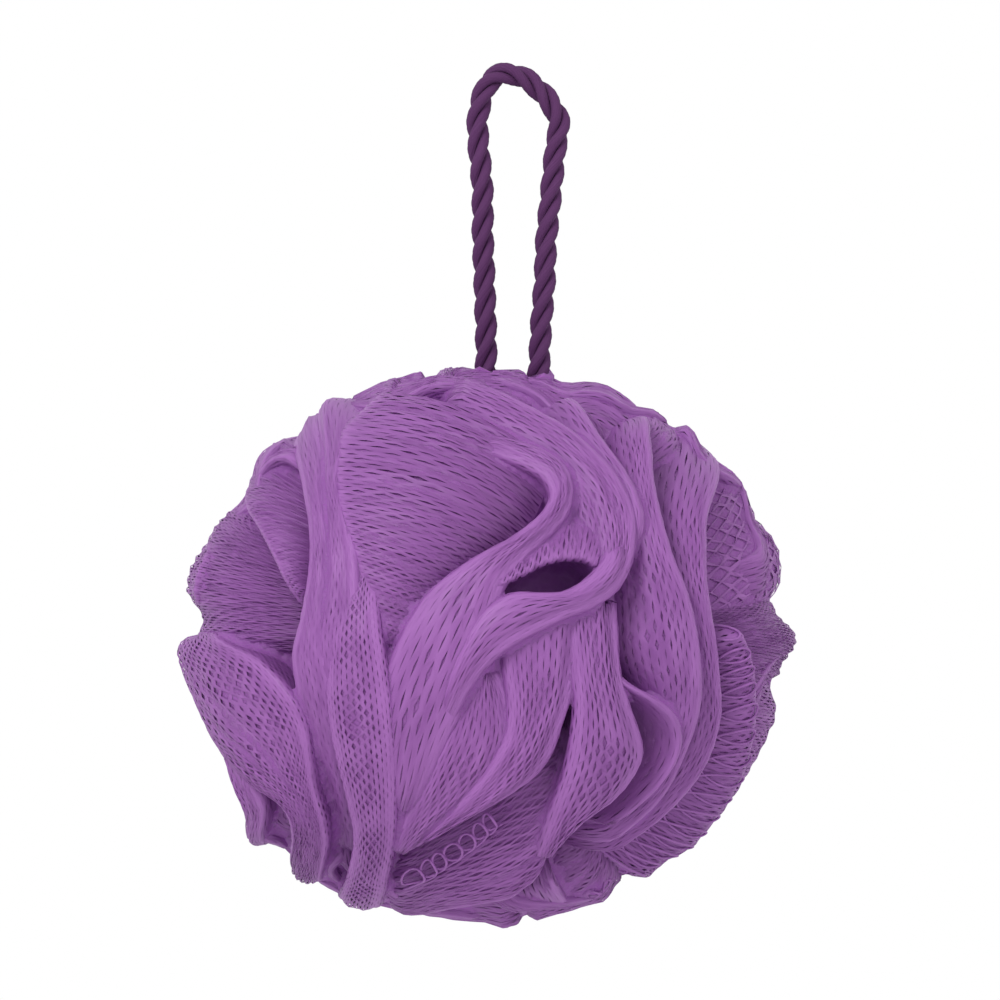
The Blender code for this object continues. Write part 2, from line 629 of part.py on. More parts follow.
def net_mesh():
    """The core and all folds grown together to one skin, with room for the tie, the knot and the cord."""
    bm = bmesh.new()
    ball_core(bm)
    side_folds(bm)
    drawn_folds(bm, Matrix.Rotation(math.pi, 3, "Z") @ Matrix.Rotation(REAR_TURN, 3, "Y"), REAR_SINK)
    drawn_folds(bm, Matrix.Identity(3), 0)
    net = helper("net", mesh_of("folds", bm), bpy.context.scene.collection)
    net.data = outer_skin(modified(net, "REMESH", mode="VOXEL", voxel_size=SKIN_STEP))
    wave_outline(net.data)
    triangles = sum(len(polygon.vertices) - 2 for polygon in net.data.polygons)
    net.data = modified(net, "DECIMATE", ratio=NET_TRIANGLES / triangles)
    rooms = helper_group("rooms")
    helper("tie_room", tie_room(), rooms)
    knot_room = drum("knot_room", KNOT_WIDTH + 2 * CLEARANCE, TIE_RING_RADIUS, KNOT_HIGH + CLEARANCE, 0)
    helper("knot_room", knot_room, rooms)
    helper("cord_room", cord_room(), rooms)
    mesh = outer_skin(combined(net, "DIFFERENCE", rooms))
    for used in [net, *rooms.objects]:
        bpy.data.objects.remove(used)
    return mesh


for old in list(bpy.data.objects):
    bpy.data.objects.remove(old)

new_object("netting", net_mesh(), NET_COLOUR, 0.5)
new_object("waist_tie", tie_mesh(), TIE_COLOUR, 0.4)
new_object("cord_knot", drum("cord_knot", KNOT_WIDTH, KNOT_LOW, KNOT_HIGH, KNOT_RIM), CORD_COLOUR, 0.7)
new_object("hanging_cord", cord_curve("hanging_cord", CORD_DIAMETER), CORD_COLOUR, 0.7)
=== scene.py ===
import math

import bmesh
import bpy
import numpy as np
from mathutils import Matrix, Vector


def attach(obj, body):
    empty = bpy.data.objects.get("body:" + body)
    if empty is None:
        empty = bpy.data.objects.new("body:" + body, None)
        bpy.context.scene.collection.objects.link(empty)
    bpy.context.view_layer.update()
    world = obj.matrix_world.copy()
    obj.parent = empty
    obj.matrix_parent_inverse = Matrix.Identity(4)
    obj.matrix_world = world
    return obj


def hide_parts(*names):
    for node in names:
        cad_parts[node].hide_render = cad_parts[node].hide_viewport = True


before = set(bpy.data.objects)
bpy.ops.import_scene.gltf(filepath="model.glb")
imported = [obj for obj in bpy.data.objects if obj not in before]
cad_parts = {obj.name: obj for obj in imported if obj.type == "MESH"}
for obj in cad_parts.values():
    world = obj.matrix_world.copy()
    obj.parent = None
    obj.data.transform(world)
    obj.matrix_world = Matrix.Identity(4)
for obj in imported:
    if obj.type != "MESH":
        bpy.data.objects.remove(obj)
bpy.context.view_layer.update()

print("frame loaded")

# the ball's middle and half sizes, as in the part, before the outline's waves
ballMiddle = np.array([-0.0046, 0, -0.1206])
ballHalf = np.array([0.0650, 0.0610, 0.0595])

# the front folds, in millimetres on the face of a ball drawn this wide and high
# crest is the edge that shows, foot the line where the wall goes under the next fold
# grain is the way the slits run, slit how much of a mesh is open, across and along it
# cell is the size of a mesh in the same order, depth the drop from the crest to the foot, lip the crest's
# own radius and sink how far the crest lies under the ball's face, all in millimetres, from start to stop
# full is how soon the wall rises, ends the shares of the length over which the ends go down, shade how
# much painted shade darkens the wall's foot; an open fold's slits all stand open, and a bare one has loops
# and no net
drawnHalf = (65, 60)
faceFolds = {
    "bigLobe": {
        "kind": "ruffle", "grain": "across", "slit": (0.40, 0.78), "cell": (2.1, 4.6), "full": 0.62,
        "depth": (2, 7, 12, 12, 12, 11, 8, 5, 3), "shade": 0.45, "ends": (0.04, 0.1),
        "sink": (0, 0, 0, 0, 0, 0.3, 1.2, 2.2, 3.0),
        "crest":
            [(-20.5, 54.5), (-25.5, 50.5), (-29.3, 45), (-30.6, 37), (-29.5, 30), (-27, 23),
             (-25.5, 16), (-24, 7), (-22.5, -3)],
        "foot":
            [(13, 42), (15.5, 38), (14.5, 32.5), (9.5, 27.5), (3, 22.5), (-4, 16.5), (-10, 11),
             (-14.5, 4), (-17.5, -3)],
    },
    "overFold": {
        "kind": "ruffle", "grain": "along", "slit": (0.32, 0.74), "full": 0.7,
        "depth": (6.0, 6.0, 6.0, 6.0, 6.0, 6.0, 5.0, 4.0, 4.0, 3.0, 2.0), "lip": 1.2, "ends": (0.1, 0.06),
        "crest":
            [(-14, 58), (-5, 57), (3, 54), (10, 50.3), (16, 46.8), (21.5, 42), (26, 37), (29, 31),
             (29.7, 25), (28.6, 19), (26, 14.5)],
        "foot":
            [(-14, 51), (-6.5, 48.5), (0, 46), (6, 43.5), (11, 41), (15, 37.5), (17.5, 34), (19, 30),
             (20.5, 26), (22, 22.5), (22.5, 19)],
    },
    "pocketBack": {
        "kind": "ruffle", "grain": "across", "slit": (0.74, 0.90),
        "depth": (2.0, 3.0, 5.0, 6.0, 6.0, 6.0, 5.0), "lip": 0.6, "ends": (0.1, 0.1),
        "sink": (0.5, 0.6, 1.0, 1.3, 1.3, 1.0, 0.8),
        "crest":
            [(-1, 13.5), (3.5, 15), (8, 17.3), (12.8, 19.8), (17.5, 20.6), (21.3, 19.8), (24.3, 17.3)],
        "foot":
            [(3, 20), (7, 23.5), (11, 27.5), (14.5, 31.5), (19, 34), (25, 32), (28, 26)],
    },
    "swoosh": {
        "kind": "strap", "grain": "along", "slit": (0.30, 0.76), "lip": 1.0, "ends": (0.08, 0.3),
        "sink": (1.5, 0.3, 0, 0, 0, 0, 0, 0, 0, 0, 0, 0),
        "crest":
            [(29.5, 27), (29.2, 20), (26.2, 14.2), (21, 10.5), (15.7, 8.6), (9, 5.3), (2.8, 1.5),
             (-2, -3.5), (-5.5, -9.5), (-9, -17), (-12.5, -25), (-16, -34)],
        "foot":
            [(26, 27), (25.3, 20.5), (22, 16), (17, 12.8), (11.4, 12.3), (5.5, 12), (0, 8.5), (-4, 2.5),
             (-7.5, -5), (-11, -13.5), (-14, -22.5), (-17, -33)],
    },
    "fanLeft": {
        "kind": "strap", "grain": "along", "slit": (0.30, 0.80), "ends": (0.1, 0.1),
        "sink": (4, 3.2, 2.0, 0.9, 0.5, 0.4, 0.6, 0.8, 0.8, 0.8, 0.9, 1.0, 1.2, 1.4, 1.5, 1.3, 1.0, 0.8),
        "crest":
            [(-12, 49), (-4, 46), (3, 43), (8.5, 40.2), (12.5, 37.4), (14.2, 33.7), (13, 30.3),
             (10.5, 27.5), (6, 24.2), (0, 21), (-6, 17), (-11.5, 12), (-16, 5), (-20, -4), (-22, -14),
             (-22, -25), (-21.5, -35), (-21.5, -46)],
        "foot":
            [(-11, 51), (-3, 48.5), (4.5, 45.8), (11, 42.7), (15.5, 39), (17, 34.8), (16.3, 30.5),
             (13.8, 26.8), (10, 23.2), (6, 19.5), (2.5, 14), (0.5, 6.5), (-2.5, -2), (-6, -11),
             (-9.5, -19), (-13, -28), (-17, -37), (-20, -46)],
    },
    "fanRight": {
        "kind": "strap", "grain": "along", "slit": (0.36, 0.79), "cell": (1.6, 4.6), "ends": (0.02, 0.1),
        "sink": (3.4, 3.0, 2.3, 1.8, 1.4, 1.1, 1.0, 0.8),
        "crest":
            [(1, -2), (4, -9), (5.5, -16), (3.5, -22.5), (-1, -28), (-7, -33.5), (-13, -39), (-19, -45)],
        "foot":
            [(-2, -3), (-5.5, -10), (-8.5, -17), (-11.5, -23.5), (-14, -29.5), (-16.5, -35),
             (-18.5, -40), (-20.5, -45)],
    },
    "floorFold": {
        "kind": "ruffle", "grain": "along", "slit": (0.53, 0.86), "full": 1.0, "depth": 8,
        "crest":
            [(14, -44), (9, -48), (5, -51), (-2, -53), (-10, -55), (-17, -57), (-24, -56)],
        "foot":
            [(18.5, -17), (13.5, -20), (6, -25.5), (-2, -32.5), (-10, -38.5), (-17, -43.5), (-23, -47)],
    },
    "cellRow": {
        "kind": "strap", "grain": "across", "slit": (0.84, 0.84), "bare": True, "ends": (0.02, 0.02),
        "sink": 2.6,
        "crest":
            [(0.8, -32.4), (-1.5, -34.5), (-5.5, -38.4), (-10.4, -42.1), (-14, -45), (-20.4, -48.4)],
        "foot":
            [(3.5, -35.8), (1.1, -38.1), (-2.9, -41.9), (-7.8, -45.7), (-11.4, -48.6), (-17.9, -52)],
    },
    "rightPocketRim": {
        "kind": "ruffle", "grain": "along", "slit": (0.28, 0.72), "full": 3.4, "depth": 12, "lip": 0.7,
        "shade": 0.8, "ends": (0.1, 0.12), "sink": (4, 3.2, 1.4, 0.3, 0, 0, 0, 0, 0, 0.2, 0.5),
        "crest":
            [(24, 2), (26, -2), (28.6, -6), (33.5, -9), (37.6, -12.2), (39.4, -16), (39.2, -20.5),
             (36.6, -25.5), (31.5, -31), (25.5, -36), (19, -41)],
        "foot":
            [(21, 0), (21, -4), (22, -9), (24, -14), (25, -18), (25.5, -22), (24.5, -26), (22, -30),
             (18, -34), (14, -38), (10, -43)],
    },
    "darkFold": {
        "kind": "ruffle", "grain": "along", "slit": (0.43, 0.79),
        "crest":
            [(15, 57), (18.5, 52), (21.5, 47), (25, 42), (29, 36), (31.5, 29), (32, 21)],
        "foot":
            [(7, 55), (11, 50), (16, 45), (20, 41), (24, 36), (26, 30), (27, 22)],
    },
    "rightFoldOne": {
        "kind": "ruffle", "grain": "along", "slit": (0.32, 0.74), "ends": (0.1, 0.1),
        "sink": (0, 0, 0, 0, 0, 0, 0, 0.3, 0.8, 1.0, 1.0, 1.2),
        "crest":
            [(31.5, 61), (32.8, 48), (33.5, 40), (34.6, 31.4), (37.2, 21.3), (40.9, 11.4), (43, 0.6),
             (43.6, -10.1), (40.9, -20.9), (36.4, -30.3), (26.5, -39.5), (15, -48)],
        "foot":
            [(24.5, 59), (24.5, 49), (26, 41), (28, 32), (28, 22), (28, 11), (28, 1), (31, -6),
             (35, -13), (34, -24), (25, -35), (13, -44)],
    },
    "rightFoldTwo": {
        "kind": "ruffle", "grain": "along", "slit": (0.32, 0.74), "ends": (0.02, 0.1),
        "sink": (0.8, 0.8, 0.8, 0.8, 0.8, 0.8, 1.0, 1.3, 1.5, 1.5, 1.6),
        "crest":
            [(52, 50), (48.5, 42), (46.5, 32), (45.4, 21.3), (45.8, 11.4), (47.9, -3), (48.6, -13.8),
             (45.6, -24.5), (38.5, -33.8), (28.5, -41.7), (15, -51)],
        "foot":
            [(33, 58), (32.5, 46), (33.5, 33), (36, 21), (39.5, 10), (42, -1), (42.5, -12), (39.5, -23),
             (33, -32), (23, -40.5), (13, -48)],
    },
    "openNetUpper": {
        "kind": "ruffle", "grain": "across", "slit": (0.92, 0.92), "open": True,
        "crest":
            [(50, 43), (56.5, 37), (60, 30), (62.5, 23), (65, 15), (63, 8)],
        "foot":
            [(44, 38), (45, 33), (44.5, 27), (44, 20), (44, 12), (45, 6)],
    },
    "openNetBump": {
        "kind": "ruffle", "grain": "across", "slit": (0.66, 0.86),
        "crest":
            [(60, 12), (65.5, 7), (68, 1), (67, -4), (63, -8)],
        "foot":
            [(45, 9), (46, 5), (47, 1), (47, -4), (47, -8)],
    },
    "loopBand": {
        "kind": "ruffle", "grain": "across", "slit": (0.40, 0.76), "ends": (0.08, 0.08),
        "crest":
            [(50, 9), (54, 0), (56, -6.7), (56.1, -17.4), (54.4, -28.2), (49.5, -36.4), (43.6, -42.4),
             (37, -46.5), (30, -49.5)],
        "foot":
            [(45.5, 7), (47.5, -3), (48.5, -11), (47, -20), (44, -28), (38.5, -34.5), (32, -39.5),
             (26, -43.5), (21, -47.5)],
    },
    "lowerRightEdge": {
        "kind": "ruffle", "grain": "across", "slit": (0.59, 0.86),
        "crest":
            [(64, -4), (64, -12), (62.5, -19), (59, -27), (53.5, -35), (47, -41.5), (40, -46.5),
             (34, -51), (28, -53)],
        "foot":
            [(50, -2), (52, -9), (53, -17), (51, -25), (46, -32), (40, -38), (33, -42.5), (28, -45),
             (23, -48)],
    },
    "bottomRight": {
        "kind": "ruffle", "grain": "along", "slit": (0.36, 0.77),
        "crest":
            [(31, -50), (28.5, -55), (24, -59), (16, -61), (8, -61)],
        "foot":
            [(24, -42), (20, -45), (15, -48), (11, -50), (6, -52)],
    },
    "bottomFold": {
        "kind": "ruffle", "grain": "along", "slit": (0.39, 0.77),
        "crest":
            [(10, -60), (0, -62.5), (-9, -62.5), (-17, -61), (-23, -58.5), (-29, -57)],
        "foot":
            [(8, -48), (0, -49), (-8, -50), (-15, -51), (-20, -51), (-24, -50)],
    },
    "upperLeftLobe": {
        "kind": "ruffle", "grain": "across", "slit": (0.26, 0.74),
        "crest":
            [(-39, 47), (-46, 46), (-51, 42), (-52.5, 36), (-51.5, 31), (-47, 26), (-43.5, 20.5),
             (-41, 15.5), (-39, 9)],
        "foot":
            [(-36, 44), (-37, 41), (-38, 37), (-37.5, 33), (-37, 29), (-36, 25), (-35.5, 20), (-36, 15),
             (-36, 9)],
    },
    "leftLobe": {
        "kind": "ruffle", "grain": "across", "slit": (0.62, 0.86), "cell": (2.4, 5.4),
        "crest":
            [(-52, 33), (-58, 29.5), (-63, 24), (-66.5, 17), (-67, 10), (-64, 4), (-60, -1)],
        "foot":
            [(-48, 26), (-45, 22), (-42, 18), (-40, 14), (-39, 9), (-40, 4), (-44, -1)],
    },
    "lowerLeftBack": {
        "kind": "ruffle", "grain": "along", "slit": (0.43, 0.77),
        "crest":
            [(-60, -27), (-57.5, -34), (-56, -39.5), (-52.5, -44), (-46.5, -48), (-42, -51.5),
             (-37, -54.5), (-31, -57)],
        "foot":
            [(-48, -20), (-44, -26), (-41, -31), (-38, -36), (-35, -40), (-32, -43), (-29, -46),
             (-25, -49)],
    },
    "topLeft": {
        "kind": "ruffle", "grain": "along", "slit": (0.18, 0.66),
        "crest":
            [(-32, 54.5), (-25, 58), (-18, 60.5), (-13, 60)],
        "foot":
            [(-25, 46), (-19, 49), (-14, 50), (-10, 50)],
    },
    "topMiddle": {
        "kind": "ruffle", "grain": "along", "slit": (0.43, 0.79),
        "crest":
            [(-9, 59), (-3, 62), (4, 62), (9, 60)],
        "foot":
            [(-6, 51), (0, 50), (6, 48), (12, 46)],
    },
    "topRight": {
        "kind": "ruffle", "grain": "along", "slit": (0.26, 0.70),
        "crest":
            [(8, 60), (13, 60), (18, 58.5), (24, 59), (30, 56.5), (35, 52)],
        "foot":
            [(10, 50), (13, 48), (17, 46), (21, 44), (26, 42), (31, 39)],
    },
    "middleStrap": {
        "kind": "strap", "grain": "along", "slit": (0.40, 0.78), "cell": (1.8, 4.4), "ends": (0.1, 0.12),
        "sink": (3.6, 3.2, 2.6, 1.9, 1.2, 0.6, 0.3, 0.2, 0.3, 0.5, 0.8),
        "crest":
            [(21, 15), (20, 8), (19, 0), (17, -8), (14.8, -14), (12.6, -20), (9, -25), (3.2, -29.3),
             (-3.8, -33.6), (-11, -38), (-19, -45)],
        "foot":
            [(8, 13), (4.5, 5), (4.5, -2), (5.5, -9), (5.2, -15.5), (2.5, -21), (-1.5, -26.5),
             (-6, -31), (-10, -35), (-14.5, -39.5), (-20.5, -45.5)],
    },
    "blade": {
        "kind": "strap", "grain": "along", "slit": (0.53, 0.86), "cell": (2.0, 4.2), "ends": (0.05, 0.12),
        "sink": (4.4, 2.8, 1.6, 0.8, 0.2, 0, 0, 0, 0.2, 0.5),
        "crest":
            [(27, 15), (27, 6), (27, -3), (28.5, -10), (31, -18), (30.5, -23), (26, -29.5), (19, -35),
             (14, -41), (10.5, -48)],
        "foot":
            [(18, 15), (18.3, 6), (18.8, -3), (19.3, -10), (18.5, -17), (17, -24), (15, -30), (13, -36),
             (11, -42), (8, -48)],
    },
    "column": {
        "kind": "strap", "grain": "along", "slit": (0.62, 0.78), "cell": (2.0, 3.0), "ends": (0.1, 0.12),
        "sink": (4.5, 3.0, 1.2, 0.3, 0, 0, 0, 0, 0, 0, 0.2, 0.3, 0.3),
        "crest":
            [(-25, 27), (-26.5, 20), (-29.5, 12), (-31, 3), (-31.5, -6), (-31, -14), (-29.5, -22),
             (-27.5, -31), (-26.5, -39), (-28, -47), (-29.5, -51), (-31, -54.5), (-33, -60.5)],
        "foot":
            [(-22.5, 27), (-23.5, 20), (-23.5, 12), (-22.5, 4), (-21, -5), (-20, -14), (-19.5, -22),
             (-19.5, -31), (-20, -39), (-21.5, -47), (-22.5, -52), (-24, -57), (-26, -62.5)],
    },
    "leftDrapeOne": {
        "kind": "strap", "grain": "along", "slit": (0.14, 0.62), "ends": (0.1, 0.1),
        "sink": (2.4, 2.2, 1.4, 0.6, 0.1, 0, 0, 0.3, 1.2, 2.8, 4.5, 5.5, 6, 6),
        "crest":
            [(-46, 57), (-42.5, 50), (-39.8, 41), (-37, 32), (-35.5, 25), (-35.5, 17), (-37, 8),
             (-39, 0), (-38.5, -9), (-37.5, -18), (-36.5, -27), (-35.5, -37), (-34, -46), (-33, -53)],
        "foot":
            [(-39, 59), (-36.5, 52), (-34.8, 42), (-33.5, 33), (-32.5, 26), (-32, 18), (-32.5, 9),
             (-32.5, 1), (-31, -8), (-30, -18), (-29, -28), (-28, -38), (-28, -47), (-29, -54)],
    },
    "leftDrapeTwo": {
        "kind": "strap", "grain": "along", "slit": (0.14, 0.62), "ends": (0.1, 0.2),
        "sink": (2.2, 2.0, 1.4, 0.7, 0.3, 0, 0.2, 0.6, 1.4, 3, 5),
        "crest":
            [(-37, 61), (-35, 53), (-34.5, 45), (-33.5, 36), (-32.5, 28), (-32, 19), (-33, 10),
             (-34.5, 2), (-33, -7), (-30, -16), (-27, -25)],
        "foot":
            [(-26, 63), (-27, 54), (-28.5, 45), (-30, 36), (-29, 28), (-27.5, 20), (-27, 11), (-27, 2),
             (-26, -8), (-25, -17), (-24, -26)],
    },
    "lowerLeftPleat": {
        "kind": "strap", "grain": "along", "slit": (0.30, 0.74), "ends": (0.08, 0.14),
        "sink": (1.6, 0.9, 0.4, 0.3, 0.4, 0.6),
        "crest":
            [(-55, -17), (-52.5, -23), (-50, -28.5), (-47.4, -34), (-46.8, -40), (-47.2, -47)],
        "foot":
            [(-60.5, -18), (-58, -24), (-55.2, -29), (-52.2, -34), (-51.2, -40), (-51, -46)],
    },
    "lowerLeftStrap": {
        "kind": "strap", "grain": "along", "slit": (0.50, 0.78), "cell": (2.0, 3.8), "ends": (0.06, 0.14),
        "crest":
            [(-62, 5.5), (-55.3, 2), (-47.6, -1.5), (-41.2, -8), (-37.8, -14.4), (-36.6, -22),
             (-35.6, -29), (-34, -36), (-34, -43), (-35, -50), (-37, -56.5)],
        "foot":
            [(-65.5, 4), (-68.5, -3), (-67.5, -10.5), (-63, -18), (-57, -24), (-49, -28.5),
             (-42.5, -32), (-40, -37), (-41, -44), (-42.5, -51), (-44.5, -57.5)],
    },
}

foldShape = {
    "depth": 0.012,         # from a crest down to the valley beside it
    "rootDepth": 0.019,     # where a fold ends inside the ball
    "crestRadius": 0.0011,  # the round edge of a ruffle
    "strapArch": 0.0012,    # how far a strap's middle stands over its edges
    "skirt": 0.0065,        # how far the net goes down behind a crest
    "overTurn": 1.95,       # radians that the net turns over a crest before it goes straight down
    "full": 0.85,           # how soon a wall rises from its foot
    "endShare": 0.16,       # of a fold's length, over which its end goes down
    "endRadius": 0.35,      # how much of its edge's radius is left at its end
    "backTurn": 150,        # degrees that the back's folds are turned by
    "backSink": 0.0012,
    "edgeWrap": 4.0,
    "pleat": 0.00048,       # small pleats that follow the slits
    "pleatWidth": 0.0052,
    "fineSteps": 160,       # along a fold's finely drawn lines
}

# where the ball's outline stands out or falls back: degrees round the face, spread in degrees, millimetres
edgeWaves = {
    "reach": 0.034,         # how far the waves go to the front and to the back
    "places": [
        (1, 5, 1.6), (8, 6, -3.0), (19, 8, 1.5), (34, 10, 2.6), (45, 8, 1.6), (51, 10, 3.2), (65, 8, 1.6),
        (74, 6, -1.2), (101, 9, 1.2), (111, 9, 1.0), (124, 8, 3.0), (138, 8, 1.6), (149, 9, -2.2),
        (166, 8, 1.6), (175, 6, -4.0), (198, 22, -3.0), (220, 5, 2.4), (237, 16, 1.9), (276, 7, 2.0),
        (300, 6, -3.4), (309, 8, -1.6), (332, 34, -1.6), (353, 8, -2.0),
    ],
}

sideFolds = {
    "count": 16, "fromDegrees": 64, "toDegrees": 120, "lap": 1.1, "lean": 1.5, "sway": 0.28, "wander": 2.4,
    "sink": 0.0018, "sinkSwing": 0.0008, "grain": "along", "slit": (0.36, 0.76),
}


def smoothLine(points, count):
    points = np.array(points, float)
    steps = len(points) - 1
    at = np.linspace(0, steps, count)
    k = np.minimum(at.astype(int), steps - 1)
    f = (at - k)[:, None]
    p, q, r, s = (points[np.clip(k + j, 0, steps)] for j in (-1, 0, 1, 2))
    return 0.5 * (2 * q + (r - p) * f + (2 * p - 5 * q + 4 * r - s) * f**2 + (3 * q - p - 3 * r + s) * f**3)


def unit(vectors):
    return vectors / np.linalg.norm(vectors, axis=-1, keepdims=True)


def outward(turn, tilt):
    return np.stack([np.sin(tilt) * np.cos(turn), -np.cos(tilt), np.sin(tilt) * np.sin(turn)], axis=-1)


def drawnDirections(places):
    places = np.array(places, float) / drawnHalf
    reach = np.hypot(places[:, 0], places[:, 1])
    wrapped = math.pi / 2 + foldShape["edgeWrap"] * (reach - 1)
    tilt = np.where(reach <= 1, np.arcsin(np.minimum(reach, 1)), wrapped)
    return outward(np.arctan2(places[:, 1], places[:, 0]), tilt)


def faceFoldLines(side):
    # the front's folds, or the same ones turned round to the back
    turn = math.radians(foldShape["backTurn"])
    c, s = math.cos(turn), math.sin(turn)
    toBack = np.array([[-c, 0, -s], [0, -1, 0], [-s, 0, c]])
    made = []
    for name, fold in faceFolds.items():
        crest, foot = drawnDirections(fold["crest"]), drawnDirections(fold["foot"])
        if side == "back":
            crest, foot = crest @ toBack.T, foot @ toBack.T
        sink = np.array(fold.get("sink", (0, 0))) / 1000 + (foldShape["backSink"] if side == "back" else 0)
        made.append({**fold, "name": name, "crest": crest, "foot": foot, "sink": sink})
    return made


def sideFoldLines():
    made = []
    step = 2 * math.pi / sideFolds["count"]
    share = np.linspace(0, 1, 7)
    tilt = np.radians(sideFolds["fromDegrees"] + (sideFolds["toDegrees"] - sideFolds["fromDegrees"]) * share)
    for i in range(sideFolds["count"]):
        sway = math.sin(sideFolds["wander"] * i)
        wave = sway + np.sin(2.5 * math.pi * share + 3 * sway)
        turn = step * (i + sideFolds["lean"] * (share - 0.5) + sideFolds["sway"] * wave)
        made.append({
            "name": "side%02d" % i, "kind": "ruffle", "grain": sideFolds["grain"], "slit": sideFolds["slit"],
            "crest": outward(turn, tilt), "foot": outward(turn - step * sideFolds["lap"], tilt),
            "sink": sideFolds["sink"] + sideFolds["sinkSwing"] * sway,
        })
    return made


def finelyDrawn(fold, seed):
    # crest and foot as close rows of directions, with the fold's length and width in metres
    fold["seed"] = seed
    fold["crestRow"] = unit(smoothLine(fold["crest"], foldShape["fineSteps"] + 1))
    fold["footRow"] = unit(smoothLine(fold["foot"], foldShape["fineSteps"] + 1))
    reach = float(ballHalf.mean())
    fold["length"] = reach * np.linalg.norm(np.diff(fold["crestRow"], axis=0), axis=1).sum()
    fold["width"] = reach * np.linalg.norm(fold["crestRow"] - fold["footRow"], axis=1).mean()
    return fold


def wander(x, y, seed):
    # a smooth unsteady value between about -1 and 1
    return (np.sin(2.1 * x + 1.3 * y + seed) + np.sin(1.7 * y - 0.9 * x + 2.3 * seed)
            + np.sin(3.7 * x - 2.9 * y + 4.1 * seed)) / 3


def waved(points):
    # the points with the outline's waves
    off = points - ballMiddle
    turn = np.degrees(np.arctan2(off[:, 2], off[:, 0]))
    rise = np.zeros(len(off))
    for at, spread, height in edgeWaves["places"]:
        away = ((turn - at + 180) % 360 - 180) / spread
        rise += height / 1000 * np.cos(math.pi / 2 * np.clip(away, -1, 1)) ** 2
    share = rise / ballHalf.mean() * np.clip(1 - (off[:, 1] / edgeWaves["reach"]) ** 2, 0, 1)
    off[:, 0] *= 1 + share
    off[:, 2] *= 1 + share
    return ballMiddle + off


def gridPlaces(bm):
    # where a flat grid's vertices lie, from 0 to 1 both ways
    return np.array([tuple(vert.co) for vert in bm.verts])[:, :2] + 0.5


def meshFrom(bm, name):
    mesh = bpy.data.meshes.new(name)
    bm.to_mesh(mesh)
    bm.free()
    return mesh


def linked(name, data):
    made = bpy.data.objects.new(name, data)
    bpy.context.scene.collection.objects.link(made)
    return made


def deepness(points):
    # 0 on the ball's surface, 1 at the bottom of a valley, before the waves; it sets the painted shade
    inside = 1 - np.linalg.norm((points - ballMiddle) / ballHalf, axis=1)
    return np.clip(inside * ballHalf.mean() / foldShape["depth"], 0, 1)


def onFold(fold, along, across, lift):
    # along runs from 0 to 1; across from 0 at the foot to 1 at the crest, then on over the edge
    rows = len(fold["crestRow"]) - 1
    at = np.clip(along, 0, 1) * rows
    k = np.minimum(at.astype(int), rows - 1)
    f = (at - k)[:, None]
    crest = fold["crestRow"][k] * (1 - f) + fold["crestRow"][k + 1] * f
    foot = fold["footRow"][k] * (1 - f) + fold["footRow"][k + 1] * f
    startEnd, stopEnd = fold.get("ends", (foldShape["endShare"], foldShape["endShare"]))
    near = np.clip(np.minimum(along / startEnd, (1 - along) / stopEnd), 0, 1)
    height = near * near * (3 - 2 * near) if "ends" in fold else np.sqrt(1 - (1 - near) ** 2)
    depths = np.atleast_1d(fold.get("depth", 1000 * foldShape["depth"])) / 1000
    low = np.interp(along, np.linspace(0, 1, len(depths)), depths)
    sink = np.atleast_1d(fold["sink"])
    top = np.interp(along, np.linspace(0, 1, len(sink)), sink) + foldShape["depth"] * (1 - height)
    radius = fold.get("lip", 1000 * foldShape["crestRadius"]) / 1000
    radius = radius * (foldShape["endRadius"] + (1 - foldShape["endRadius"]) * height)
    wall = np.clip(across, 0, 1)
    if fold["kind"] == "strap":
        depth = -foldShape["strapArch"] * height * np.sin(math.pi * wall)
    else:
        depth = low * height * (1 - np.sin(math.pi / 2 * wall ** fold.get("full", foldShape["full"])))
    x, y = along * fold["length"], wall * fold["width"]
    if fold["grain"] == "across":
        x, y = y, x
    phase = 2 * math.pi * y / foldShape["pleatWidth"] + 1.6 * wander(x * 90, y * 120, fold["seed"])
    pleat = foldShape["pleat"] * np.sin(phase) * (0.6 + 0.4 * wander(x * 60, y * 200, fold["seed"] + 5))
    depth = depth - pleat * height * np.sin(math.pi * wall) ** 0.5
    over = np.maximum(across - 1, -across if fold["kind"] == "strap" else 0)
    over = np.maximum(over, 0) * fold["width"]
    way = np.where(across > 0.5, 1, -1)[:, None] * unit(crest - foot)
    turned = np.minimum(over / radius, foldShape["overTurn"])
    drop = np.maximum(over - radius * foldShape["overTurn"], 0)
    sideways = (radius + lift) * np.sin(turned) + drop * math.cos(foldShape["overTurn"])
    down = radius - (radius + lift) * np.cos(turned) + drop * math.sin(foldShape["overTurn"])
    side = way * (np.where(over > 0, sideways, 0) / ballHalf.mean())[:, None]
    direction = unit(foot * (1 - wall)[:, None] + crest * wall[:, None] + side)
    deep = top + np.where(over > 0, down, depth - lift)
    return ballMiddle + direction * (ballHalf - deep[:, None])


